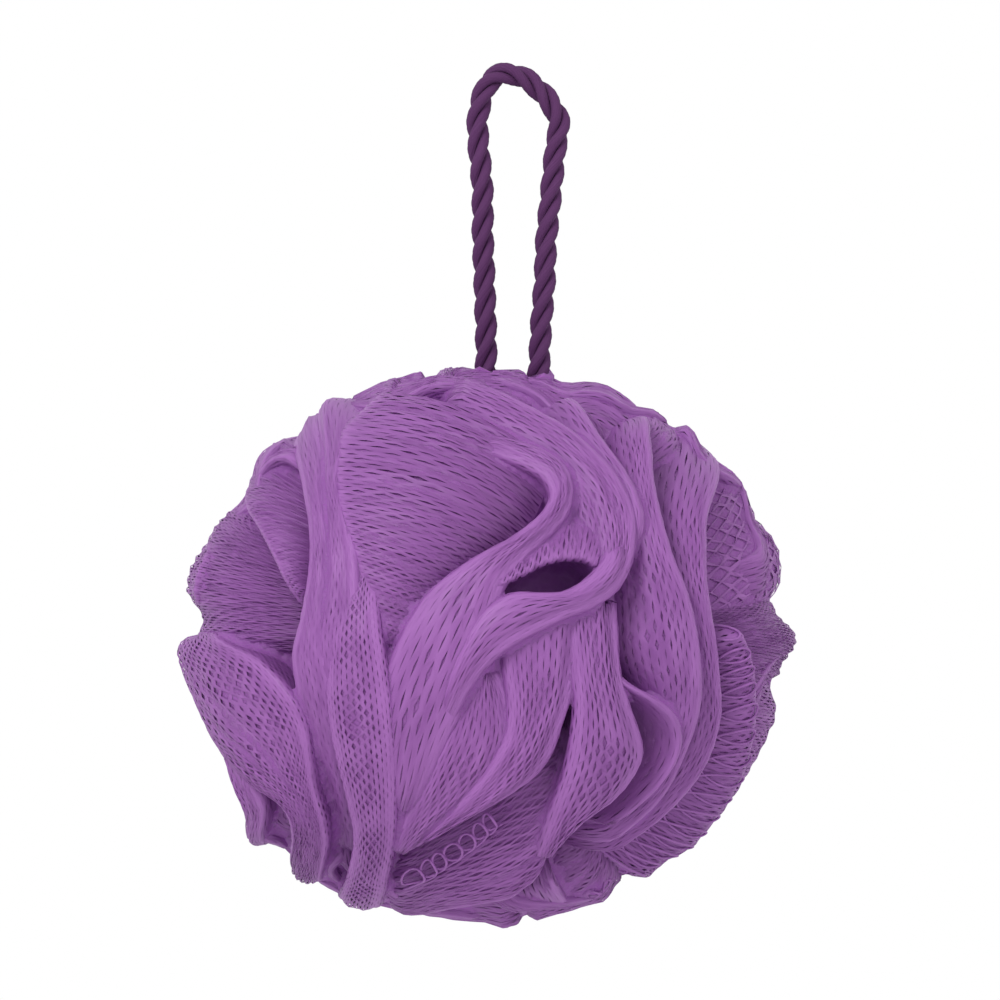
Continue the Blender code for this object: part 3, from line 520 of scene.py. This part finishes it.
cordWay = {
    "diameter": 0.005, "strandTwist": 0.0175, "strandSides": 10, "stepsAlong": 300,
    "roughSteps": 240, "fineSteps": 2400,
    # the box inside the ball that the legs run through
    "boxMiddle": -0.0045, "boxHalfWidth": 0.014, "boxHalfDepth": 0.012, "boxFoot": -0.11,
    # the middle line, from one end at the knot, round the hook, to the other end
    "points": [
        (-0.0074, 0, -0.1010), (-0.0074, 0, -0.0960), (-0.0070, 0.0006, -0.0870), (-0.0058, 0.0014, -0.0756),
        (-0.0048, 0.0016, -0.0594), (-0.0051, 0.0014, -0.0436), (-0.0055, 0.0010, -0.0322),
        (-0.0056, 0.0006, -0.0219), (-0.0066, 0.0002, -0.0100), (-0.0060, 0, -0.0040), (-0.0038, 0, 0.0010),
        (0, 0, 0.0025), (0.0045, 0, 0.0008), (0.0085, -0.0002, -0.0032), (0.0109, -0.0004, -0.0080),
        (0.0101, -0.0007, -0.0140), (0.0090, -0.0012, -0.0249), (0.0081, -0.0016, -0.0340),
        (0.0078, -0.0020, -0.0420), (0.0070, -0.0022, -0.0520), (0.0063, -0.0020, -0.0630),
        (0.0039, -0.0014, -0.0770), (-0.0004, -0.0006, -0.0880), (-0.0018, 0, -0.0960), (-0.0018, 0, -0.1010),
    ],
}
cordPath = smoothLine(cordWay["points"], cordWay["roughSteps"] + 1)

netMesh = {
    "meshLength": 0.0042,   # one mesh along its slit
    "streakLength": 0.0060, # the same where the net is drawn out along a fold
    "meshWidth": 0.0018,    # one mesh across it, two columns of slits
    "openLength": 0.0052,   # the same where the net is pulled open
    "openWidth": 0.0048,
    "lift": 0.00028,        # the net over the fold's own surface
    "threadRound": 0.00012,
    "firstAcross": 0.06,    # the wall's lowest part lies hidden
    "crestCrowd": 0.55,     # how much shorter the meshes are at a crest
    "crestReach": 0.0050,
    "crestClose": 0.0030,   # how far from a crest its slits begin to close
    "unevenness": 0.16,
    "patchScale": 150,      # how fine the patches of more and less open slits are
    "patchSwing": 0.7,
    "patchOpen": (0.3, 0.75),
    "crestOpen": (0.1, 0.9),
    "openSpread": (0.5, 1.25),  # by chance, for each slit: how far it opens, and how long it is
    "slitSpread": (0.82, 1.08),
    "slitLimits": (0.02, 0.92),
    "rowSamples": 401,
    "openPaintedLight": 0.5,       # painted light: how much lighter the single threads of the open net are drawn and the painted highlight along a crest, with how far that reaches
    "crestHighlight": 0.6,      # and the net bunched along a crest, with how far that reaches
    "crestLine": 0.0012,
    "cordRoom": 0.0036,
}


def rowPlaces(fold, first, last, cell):
    # rows lie closer together near the crest: how many there are, and where a share of them lies
    fine = np.linspace(first, last, netMesh["rowSamples"])
    away = crestDistance(fold, fine) / netMesh["crestReach"]
    gap = netMesh["crestCrowd"] + (1 - netMesh["crestCrowd"]) * np.clip(away, 0, 1)
    run = np.concatenate([[0], np.cumsum(0.5 / gap[1:] + 0.5 / gap[:-1])])
    rows = run[-1] * (fine[1] - fine[0]) * fold["width"] / cell
    return max(1, round(rows)), lambda share: np.interp(share, run / run[-1], fine)


def crestDistance(fold, across):
    # how far a place is from the crest, or from the nearer edge of a strap
    away = np.abs(across - 1)
    if fold["kind"] == "strap":
        away = np.minimum(away, np.abs(across))
    return away * fold["width"]


def openness(fold, along, across):
    # how far the slits stand open at a place: in patches, and closed at the crest
    x, y = along * fold["length"], across * fold["width"]
    if fold.get("open"):
        return np.ones(len(x))
    scale = netMesh["patchScale"]
    patch = np.clip(0.5 + netMesh["patchSwing"] * wander(x * scale, y * scale, fold["seed"]), 0, 1)
    closing = np.clip(crestDistance(fold, across) / netMesh["crestClose"], 0, 1)
    least, more = netMesh["patchOpen"]
    atCrest, away = netMesh["crestOpen"]
    return (least + more * patch) * (atCrest + away * closing)


def netSheet(fold):
    # a grid turned to diamonds, each with its slit cut in, laid on the fold
    last = 1 + (foldShape["crestRadius"] * foldShape["overTurn"] + foldShape["skirt"]) / fold["width"]
    first = netMesh["firstAcross"] if fold["kind"] == "ruffle" else 1 - last
    opened = fold.get("open", False)
    longCell = netMesh["streakLength"] if fold["grain"] == "along" else netMesh["meshLength"]
    alongCell, acrossCell = netMesh["meshWidth"], longCell
    if "cell" in fold:
        alongCell, acrossCell = (size / 1000 for size in fold["cell"])
    if opened:
        alongCell, acrossCell = netMesh["openWidth"], netMesh["openLength"]
    slitAlong, slitAcross = fold["slit"]
    if fold["grain"] == "along":
        alongCell, acrossCell = acrossCell, alongCell
        slitAlong, slitAcross = slitAcross, slitAlong
    columns = max(3, round(fold["length"] / alongCell))
    rows, placed = rowPlaces(fold, first, last, acrossCell)
    bm = bmesh.new()
    bmesh.ops.create_grid(bm, x_segments=columns, y_segments=rows, size=0.5)
    straight = [edge for edge in bm.edges if len(edge.link_faces) == 2]
    bmesh.ops.poke(bm, faces=bm.faces)
    bmesh.ops.dissolve_edges(bm, edges=straight, use_verts=False)
    cells = list(bm.faces)
    middles = np.array([tuple(face.calc_center_median()) for face in cells])[:, :2]
    corners = [[vert.co.copy() for vert in face.verts] for face in cells]
    bmesh.ops.inset_individual(bm, faces=cells, thickness=0.0001)
    chance = np.random.default_rng(fold["seed"])
    opening = openness(fold, middles[:, 0] + 0.5, placed(middles[:, 1] + 0.5))
    opening = opening * chance.uniform(*netMesh["openSpread"], len(cells))
    stretch = chance.uniform(*netMesh["slitSpread"], len(cells))
    crossing = fold["grain"] == "across"
    shareAlong = np.clip(slitAlong * (opening if crossing else stretch), *netMesh["slitLimits"])
    shareAcross = np.clip(slitAcross * (stretch if crossing else opening), *netMesh["slitLimits"])
    for k, face in enumerate(cells):
        for vert in face.verts:
            near = min(corners[k], key=lambda corner: (corner - vert.co).length_squared)
            vert.co.x = middles[k, 0] + (near.x - middles[k, 0]) * shareAlong[k]
            vert.co.y = middles[k, 1] + (near.y - middles[k, 1]) * shareAcross[k]
            vert.tag = True
    inSlit = np.array([vert.tag for vert in bm.verts])
    flat = gridPlaces(bm)
    inner = (flat > 0.001) & (flat < 0.999) & ~inSlit[:, None]
    flat += inner * chance.uniform(-0.5, 0.5, flat.shape) * netMesh["unevenness"] / np.array([columns, rows])
    across = placed(flat[:, 1])
    bend = netMesh["threadRound"] * (0.25 + 0.75 * np.clip(openness(fold, flat[:, 0], across), 0, 1))
    points = onFold(fold, flat[:, 0], across, netMesh["lift"] + np.where(inSlit, -bend, bend))
    alongMetres, acrossMetres = flat[:, 0] * fold["length"], across * fold["width"]
    grain = np.stack([alongMetres, acrossMetres] if crossing else [acrossMetres, alongMetres], axis=1)
    grain += fold["seed"] * 0.37
    # painted shade: darker by depth in a valley and at a wall's foot; painted light on the open net's
    # threads, and a painted highlight along the crest
    deep = deepness(points) - (netMesh["openPaintedLight"] if opened else 0)
    deep += fold.get("shade", 0) * np.clip(1.1 - across, 0, 1)
    deep -= netMesh["crestHighlight"] * np.clip(1 - crestDistance(fold, across) / netMesh["crestLine"], 0, 1)
    points = waved(points)
    uv = bm.loops.layers.uv.new("grain")
    shadeLayer = bm.verts.layers.float.new("deep")
    bm.verts.index_update()
    for vert, point, share in zip(bm.verts, points, deep):
        vert.co = point
        vert[shadeLayer] = share
    for face in bm.faces:
        for loop in face.loops:
            loop[uv].uv = grain[loop.vert.index]
    bmesh.ops.delete(bm, geom=cells, context="FACES_ONLY")
    faces = list(bm.faces)
    centres = np.array([tuple(face.calc_center_median()) for face in faces])
    bm.normal_update()
    facing = np.array([tuple(face.normal) for face in faces]) * (centres - ballMiddle)
    if facing.sum() < 0:
        bmesh.ops.reverse_faces(bm, faces=faces)
    crowded = nearCord(centres) < netMesh["cordRoom"]
    bmesh.ops.delete(bm, geom=[face for face, near in zip(faces, crowded) if near], context="FACES")
    return meshFrom(bm, fold["name"])


threadLoops = {
    # light is painted light: how much lighter the loops are drawn than their depth gives
    "sides": 6, "pointsInLoop": 18, "lift": 0.0008, "light": 0.4, "unevenness": 0.12,
    # half the thread, a loop's place in its row, its reach to and fro, the row's middle and half width
    "cellRow": (0.00027, 0.0044, 0.0034, 0.50, 0.46),
    "loopBand": (0.00026, 0.0050, 0.0026, 0.62, 0.34),
}


def roundThread(centre, away, radius, sides, uvName, uvSize):
    # a closed tube along these points, and the outward direction at each
    steps = len(centre) - 1
    forward = unit(np.gradient(centre, axis=0))
    out = unit(away - forward * np.sum(away * forward, axis=1)[:, None])
    across = np.cross(forward, out)
    bm = bmesh.new()
    uv = bm.loops.layers.uv.new(uvName)
    bmesh.ops.create_grid(bm, x_segments=steps, y_segments=sides, size=0.5)
    for face in bm.faces:
        for loop in face.loops:
            loop[uv].uv = ((loop.vert.co.x + 0.5) * uvSize[0], (loop.vert.co.y + 0.5) * uvSize[1])
    flat = gridPlaces(bm)
    k = np.rint(flat[:, 0] * steps).astype(int)
    angle = 2 * math.pi * flat[:, 1]
    points = centre[k] + radius * (np.cos(angle)[:, None] * out[k] + np.sin(angle)[:, None] * across[k])
    for vert, point in zip(bm.verts, points):
        vert.co = point
    bmesh.ops.remove_doubles(bm, verts=bm.verts, dist=0.000001)
    bmesh.ops.holes_fill(bm, edges=[edge for edge in bm.edges if edge.is_boundary])
    bmesh.ops.recalc_face_normals(bm, faces=bm.faces)
    return bm


def loopRow(fold):
    # one thread that runs along the fold and turns back over itself in loops
    radius, pitch, reach, middle, half = threadLoops[fold["name"]]
    count = round(fold["length"] / pitch)
    turn = np.linspace(0, 2 * math.pi * count, count * threadLoops["pointsInLoop"] + 1)
    uneven = 1 + threadLoops["unevenness"] * wander(turn * 0.3, turn * 0.17, fold["seed"])
    along = turn / turn[-1] - reach * uneven / fold["length"] * np.sin(turn)
    across = middle + half * uneven * np.cos(turn)
    inside = (along > 0.01) & (along < 0.99)
    along, across, turn = along[inside], across[inside], turn[inside]
    points = onFold(fold, along, across, threadLoops["lift"] + radius * np.sin(turn))
    # painted shade by depth, less the painted light on the loops
    deep = deepness(points) - threadLoops["light"]
    centre = waved(points)
    size = (fold["length"] * 3, 0.002)
    bm = roundThread(centre, centre - ballMiddle, radius, threadLoops["sides"], "grain", size)
    shadeLayer = bm.verts.layers.float.new("deep")
    for vert in bm.verts:
        vert[shadeLayer] = float(deep.mean())
    return meshFrom(bm, fold["name"] + "Loops")


def nearCord(points):
    # how far each point is from the cord's middle line
    near = np.full(len(points), 1.0)
    beside = np.abs(points[:, 0] - cordWay["boxMiddle"]) < cordWay["boxHalfWidth"]
    beside &= (np.abs(points[:, 1]) < cordWay["boxHalfDepth"]) & (points[:, 2] > cordWay["boxFoot"])
    for k in np.nonzero(beside)[0]:
        near[k] = np.linalg.norm(cordPath - points[k], axis=1).min()
    return near


def oneObject(name, meshes, material):
    # several meshes as one piece
    bm = bmesh.new()
    for mesh in meshes:
        bm.from_mesh(mesh)
        bpy.data.meshes.remove(mesh)
    joined = meshFrom(bm, name)
    joined.materials.append(material)
    joined.shade_smooth()
    return linked(name, joined)


def applied(piece, kind, **settings):
    modifier = piece.modifiers.new(kind, kind)
    for name, value in settings.items():
        setattr(modifier, name, value)
    seen = bpy.context.evaluated_depsgraph_get()
    mesh = bpy.data.meshes.new_from_object(piece.evaluated_get(seen))
    piece.modifiers.remove(modifier)
    piece.data = mesh
    return piece


underLayer = {"step": 0.0012, "stations": 30, "wallSteps": 7, "overSteps": 6, "coreDepth": 0.013,
              "smooth": 3}


def foldBody(fold):
    # a fold as a closed body whose root lies inside the ball
    overEdge = (foldShape["crestRadius"] * foldShape["overTurn"] + foldShape["skirt"]) / fold["width"]
    ring = np.linspace(0, 1, underLayer["wallSteps"] + 1)
    beyond = np.linspace(0, overEdge, underLayer["overSteps"] + 1)[1:]
    if fold["kind"] == "strap":
        ring = np.concatenate([-beyond[::-1], ring])
    ring = np.concatenate([[0], ring, 1 + beyond, [1, 0]])
    count = len(ring)
    bm = bmesh.new()
    bmesh.ops.create_grid(bm, x_segments=underLayer["stations"], y_segments=count - 1, size=0.5)
    flat = gridPlaces(bm)
    place = np.rint(flat[:, 1] * (count - 1)).astype(int)
    points = onFold(fold, flat[:, 0], ring[place], 0)
    k = np.rint(flat[:, 0] * foldShape["fineSteps"]).astype(int)
    footRoot = ballMiddle + fold["footRow"][k] * (ballHalf - foldShape["rootDepth"])
    crestRoot = ballMiddle + fold["crestRow"][k] * (ballHalf - foldShape["rootDepth"])
    atFoot = (place == 0) | (place == count - 1)
    points = np.where(atFoot[:, None], footRoot, points)
    points = np.where((place == count - 2)[:, None], crestRoot, points)
    for vert, point in zip(bm.verts, points):
        vert.co = point
    bmesh.ops.remove_doubles(bm, verts=bm.verts, dist=0.000001)
    bmesh.ops.holes_fill(bm, edges=[edge for edge in bm.edges if edge.is_boundary])
    bmesh.ops.triangulate(bm, faces=[face for face in bm.faces if len(face.verts) > 4])
    bmesh.ops.recalc_face_normals(bm, faces=bm.faces)
    return meshFrom(bm, fold["name"])


def coreMesh():
    bm = bmesh.new()
    bmesh.ops.create_icosphere(bm, subdivisions=5, radius=1)
    for vert in bm.verts:
        vert.co = ballMiddle + np.array(vert.co) * (ballHalf - underLayer["coreDepth"])
    return meshFrom(bm, "core")


def finishUnder(piece, material):
    # its depth as an attribute for the painted shade, then the outline's waves and room for the cord
    mesh = piece.data
    flat = np.empty(len(mesh.vertices) * 3)
    mesh.vertices.foreach_get("co", flat)
    points = flat.reshape(-1, 3).astype(float)
    deep = mesh.attributes.new("deep", "FLOAT", "POINT")
    deep.data.foreach_set("value", deepness(points))
    points = waved(points)
    near = nearCord(points)
    for k in np.nonzero(near < netMesh["cordRoom"])[0]:
        closest = cordPath[np.linalg.norm(cordPath - points[k], axis=1).argmin()]
        away = points[k] - closest
        points[k] = closest + away * netMesh["cordRoom"] / max(np.linalg.norm(away), 0.0001)
    mesh.vertices.foreach_set("co", points.ravel())
    mesh.update()
    mesh.shade_smooth()
    mesh.materials.clear()
    mesh.materials.append(material)


# the thread's colours run from painted shade to painted highlight, mixed with light and dark streaks; the
# under layer's run from painted shade to its own colour, mixed with its cells
netColours = {
    "threadDarkAndShaded": (0.180, 0.058, 0.228), "thread": (0.262, 0.084, 0.335), "threadLightAndHighlit": (0.37, 0.138, 0.460),
    "under": (0.32, 0.108, 0.41), "underDarkAndShaded": (0.275, 0.092, 0.345),
    "cord": (0.085, 0.024, 0.098), "cordLight": (0.14, 0.046, 0.158),
    "tie": (0.55, 0.50, 0.58),
}


surface = {
    "valleyShade": -0.48,      # how much painted shade darkens a valley
    "patternAndShadeStops": (0.10, 0.55, 0.90), "mixStops": (0.3, 0.7), "bumpStrength": 0.6,
    "streakScale": (800, 70, 1), "yarnScale": (9, 60, 1), "cellScale": 480, "cloudScale": 400,
    "tieShade": 0.8,        # the darker of the tie's two colours
}


def setValues(node, values):
    for socket, value in values.items():
        node.inputs[socket].default_value = value
    return node


def newMaterial(name, values):
    material = bpy.data.materials.new(name)
    material.use_nodes = True
    nodes, links = material.node_tree.nodes, material.node_tree.links
    return material, nodes, links, setValues(nodes["Principled BSDF"], values)


def mixedColour(nodes, links, shader, factor, dark, light):
    ramp = nodes.new("ShaderNodeValToRGB")
    stops = ramp.color_ramp.elements
    stops[0].position, stops[1].position = surface["mixStops"]
    stops[0].color, stops[1].color = (*dark, 1), (*light, 1)
    links.new(factor, ramp.inputs["Fac"])
    links.new(ramp.outputs["Color"], shader.inputs["Base Color"])


def bumped(nodes, links, shader, height, distance):
    bump = setValues(nodes.new("ShaderNodeBump"), {"Distance": distance, "Strength": surface["bumpStrength"]})
    links.new(height, bump.inputs["Height"])
    links.new(bump.outputs["Normal"], shader.inputs["Normal"])


def patternAndShadeMixed(nodes, links, shader, factor, colours, weight, offset):
    # colour from a pattern, and painted shade from how deep in a valley the point lies
    deep = nodes.new("ShaderNodeAttribute")
    deep.attribute_name = "deep"
    sunk = setValues(nodes.new("ShaderNodeMath"), {1: surface["valleyShade"], 2: offset})
    sunk.operation = "MULTIPLY_ADD"
    links.new(deep.outputs["Fac"], sunk.inputs[0])
    mix = setValues(nodes.new("ShaderNodeMath"), {1: weight})
    mix.operation = "MULTIPLY_ADD"
    links.new(factor, mix.inputs[0])
    links.new(sunk.outputs[0], mix.inputs[2])
    ramp = nodes.new("ShaderNodeValToRGB")
    stops = ramp.color_ramp.elements
    low, middle, high = surface["patternAndShadeStops"]
    stops[0].position, stops[1].position = low, high
    stops[0].color, stops[1].color = (*colours[0], 1), (*colours[2], 1)
    stops.new(middle).color = (*colours[1], 1)
    links.new(mix.outputs[0], ramp.inputs["Fac"])
    links.new(ramp.outputs["Color"], shader.inputs["Base Color"])


def drawnOut(nodes, links, uvName, scale, detail):
    # a noise drawn out along one way of a UV map
    place = nodes.new("ShaderNodeUVMap")
    place.uv_map = uvName
    stretch = setValues(nodes.new("ShaderNodeMapping"), {"Scale": scale})
    noise = setValues(nodes.new("ShaderNodeTexNoise"), {"Scale": 1, "Detail": detail})
    links.new(place.outputs["UV"], stretch.inputs["Vector"])
    links.new(stretch.outputs["Vector"], noise.inputs["Vector"])
    return noise.outputs["Fac"]


def threadMaterial():
    # streaks along the slits, with painted shade in the valleys and painted highlights along the crests
    material, nodes, links, shader = newMaterial("net_thread", {
        "Roughness": 0.5, "Specular IOR Level": 0.35, "Sheen Weight": 0.25, "Sheen Roughness": 0.4,
        "Sheen Tint": (*netColours["threadLightAndHighlit"], 1),
    })
    streak = drawnOut(nodes, links, "grain", surface["streakScale"], 3)
    colours = (netColours["threadDarkAndShaded"], netColours["thread"], netColours["threadLightAndHighlit"])
    patternAndShadeMixed(nodes, links, shader, streak, colours, 0.8, 0.30)
    bumped(nodes, links, shader, streak, 0.0006)
    return material


def underMaterial():
    material, nodes, links, shader = newMaterial("net_under_layer", {
        "Roughness": 0.6, "Subsurface Weight": 0.5, "Subsurface Radius": (1, 0.45, 1),
        "Subsurface Scale": 0.003, "Specular IOR Level": 0.25,
    })
    place = nodes.new("ShaderNodeTexCoord")
    cells = setValues(nodes.new("ShaderNodeTexVoronoi"), {"Scale": surface["cellScale"]})
    cells.feature = "DISTANCE_TO_EDGE"
    links.new(place.outputs["Object"], cells.inputs["Vector"])
    # cell pattern, mixed with painted shade in the valleys
    colours = (netColours["underDarkAndShaded"], netColours["under"], netColours["under"])
    patternAndShadeMixed(nodes, links, shader, cells.outputs["Distance"], colours, -0.5, 0.75)
    bumped(nodes, links, shader, cells.outputs["Distance"], 0.0004)
    return material


def cordMaterial():
    material, nodes, links, shader = newMaterial("laid_cord", {"Roughness": 0.8, "Specular IOR Level": 0.25})
    yarn = drawnOut(nodes, links, "strand", surface["yarnScale"], 4)
    mixedColour(nodes, links, shader, yarn, netColours["cord"], netColours["cordLight"])
    bumped(nodes, links, shader, yarn, 0.0003)
    return material


def tieMaterial():
    material, nodes, links, shader = newMaterial("nylon_line", {"Roughness": 0.3})
    place = nodes.new("ShaderNodeTexCoord")
    cloud = setValues(nodes.new("ShaderNodeTexNoise"), {"Scale": surface["cloudScale"]})
    links.new(place.outputs["Object"], cloud.inputs["Vector"])
    darker = tuple(surface["tieShade"] * c for c in netColours["tie"])
    mixedColour(nodes, links, shader, cloud.outputs["Fac"], darker, netColours["tie"])
    return material


def cordStrands(material):
    # three strands laid round the middle line
    diameter = cordWay["diameter"]
    strandRadius = diameter / 2 / (1 + 2 / math.sqrt(3))
    helix = diameter / 2 - strandRadius
    steps = cordWay["stepsAlong"]
    path = smoothLine(cordWay["points"], cordWay["fineSteps"] + 1)
    run = np.concatenate([[0], np.cumsum(np.linalg.norm(np.diff(path, axis=0), axis=1))])
    at = np.linspace(0, run[-1], steps + 1)
    middle = np.stack([np.interp(at, run, path[:, i]) for i in range(3)], axis=1)
    ahead = unit(np.gradient(middle, axis=0))
    sideA = unit(np.cross(ahead, np.array([0.0, 1.0, 0.0])))
    sideB = np.cross(ahead, sideA)
    meshes = []
    for strand in range(3):
        turn = 2 * math.pi * (at / cordWay["strandTwist"] + strand / 3)
        centre = middle + helix * (np.cos(turn)[:, None] * sideA + np.sin(turn)[:, None] * sideB)
        bm = roundThread(centre, centre - middle, strandRadius, cordWay["strandSides"], "strand", (1, 1))
        meshes.append(meshFrom(bm, "strand"))
    return oneObject("cord_strands", meshes, material), float(run[-1])


studio = {
    "frameWidth": 0.215, "lens": 150, "middle": (-0.0018, 0, -0.0892),
    "floorHeight": -0.27, "floorSize": 1.1, "roomLight": 0.56,
}


def setCamera():
    camera = bpy.data.cameras.new("camera")
    camera.lens = studio["lens"]
    camera.sensor_width = 36
    made = linked("camera", camera)
    away = studio["frameWidth"] * studio["lens"] / camera.sensor_width
    made.location = Vector(studio["middle"]) + Vector((0, -away, 0))
    made.rotation_euler = (math.pi / 2, 0, 0)
    bpy.context.scene.camera = made


def softBox(name, place, size, watts):
    light = bpy.data.lights.new(name, "AREA")
    light.shape = "RECTANGLE"
    light.size, light.size_y = size
    light.energy = watts
    made = linked(name, light)
    made.location = place
    made.rotation_euler = (Vector(studio["middle"]) - Vector(place)).to_track_quat("-Z", "Y").to_euler()


def seenWhite(nodes, links):
    # 1 for rays from the camera, a gloss or a clear body, which see the plain background
    path = nodes.new("ShaderNodeLightPath")
    first = nodes.new("ShaderNodeMath")
    first.operation = "MAXIMUM"
    both = nodes.new("ShaderNodeMath")
    both.operation = "MAXIMUM"
    links.new(path.outputs["Is Camera Ray"], first.inputs[0])
    links.new(path.outputs["Is Glossy Ray"], first.inputs[1])
    links.new(first.outputs[0], both.inputs[0])
    links.new(path.outputs["Is Transmission Ray"], both.inputs[1])
    return both.outputs[0]


def setRoom():
    world = bpy.data.worlds.new("studio")
    bpy.context.scene.world = world
    world.use_nodes = True
    nodes, links = world.node_tree.nodes, world.node_tree.links
    white = (1, 1, 1, 1)
    light = setValues(nodes["Background"], {"Color": white, "Strength": studio["roomLight"]})
    seen = setValues(nodes.new("ShaderNodeBackground"), {"Color": white, "Strength": 1})
    mix = nodes.new("ShaderNodeMixShader")
    links.new(seenWhite(nodes, links), mix.inputs["Fac"])
    links.new(light.outputs[0], mix.inputs[1])
    links.new(seen.outputs[0], mix.inputs[2])
    links.new(mix.outputs[0], nodes["World Output"].inputs["Surface"])
    bm = bmesh.new()
    bmesh.ops.create_grid(bm, x_segments=1, y_segments=1, size=studio["floorSize"] / 2)
    bmesh.ops.translate(bm, verts=bm.verts, vec=(0, 0, studio["floorHeight"]))
    mesh = meshFrom(bm, "floor")
    paper = newMaterial("floor_paper", {"Roughness": 0.9, "Base Color": (0.9, 0.9, 0.9, 1)})[0]
    mesh.materials.append(paper)
    linked("floor", mesh)


setCamera()
setRoom()
softBox("key", (-0.50, -0.80, 0.60), (0.5, 0.5), 6.4)
softBox("fill", (0.8, -0.7, 0.1), (0.8, 0.8), 1.5)
bpy.context.scene.view_settings.view_transform = "Standard"
print("camera and lights set")

thread, under, laid, nylon = threadMaterial(), underMaterial(), cordMaterial(), tieMaterial()
cordPiece, cordLength = cordStrands(laid)
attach(cordPiece, "root")
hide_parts("hanging_cord")
print("cord laid", round(cordLength, 4))

frontFolds = [finelyDrawn(fold, i) for i, fold in enumerate(faceFoldLines("front"))]
backFolds = [finelyDrawn(fold, 40 + i) for i, fold in enumerate(faceFoldLines("back"))]
roundFolds = [finelyDrawn(fold, 80 + i) for i, fold in enumerate(sideFoldLines())]
allFolds = frontFolds + backFolds + roundFolds

bodies = [coreMesh()] + [foldBody(fold) for fold in allFolds if not fold.get("bare")]
underPiece = oneObject("net_under_layer", bodies, under)
underPiece = applied(underPiece, "REMESH", mode="VOXEL", voxel_size=underLayer["step"])
underPiece = applied(underPiece, "SMOOTH", factor=0.5, iterations=underLayer["smooth"])
finishUnder(underPiece, under)
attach(underPiece, "root")
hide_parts("netting")
print("under layer grown", len(underPiece.data.polygons))

# the net in five pieces, each printed with its triangles and its own modelled area
netGroups = {
    "net_front_left": [fold for fold in frontFolds if fold["crest"][:, 0].mean() < 0],
    "net_front_right": [fold for fold in frontFolds if fold["crest"][:, 0].mean() >= 0],
    "net_back_left": [fold for fold in backFolds if fold["crest"][:, 0].mean() < 0],
    "net_back_right": [fold for fold in backFolds if fold["crest"][:, 0].mean() >= 0],
    "net_sides": roundFolds,
}
for name, folds in netGroups.items():
    sheets = [netSheet(fold) for fold in folds if not fold.get("bare")]
    loops = [loopRow(fold) for fold in folds if fold["name"] in threadLoops]
    piece = oneObject(name, sheets + loops, thread)
    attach(piece, "root")
    triangles = sum(len(polygon.vertices) - 2 for polygon in piece.data.polygons)
    area = sum(polygon.area for polygon in piece.data.polygons)
    print(name, "laid, triangles", triangles, "area", round(area, 4))

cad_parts["waist_tie"].data.materials.clear()
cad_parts["waist_tie"].data.materials.append(nylon)
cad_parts["cord_knot"].data.materials.clear()
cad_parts["cord_knot"].data.materials.append(laid)
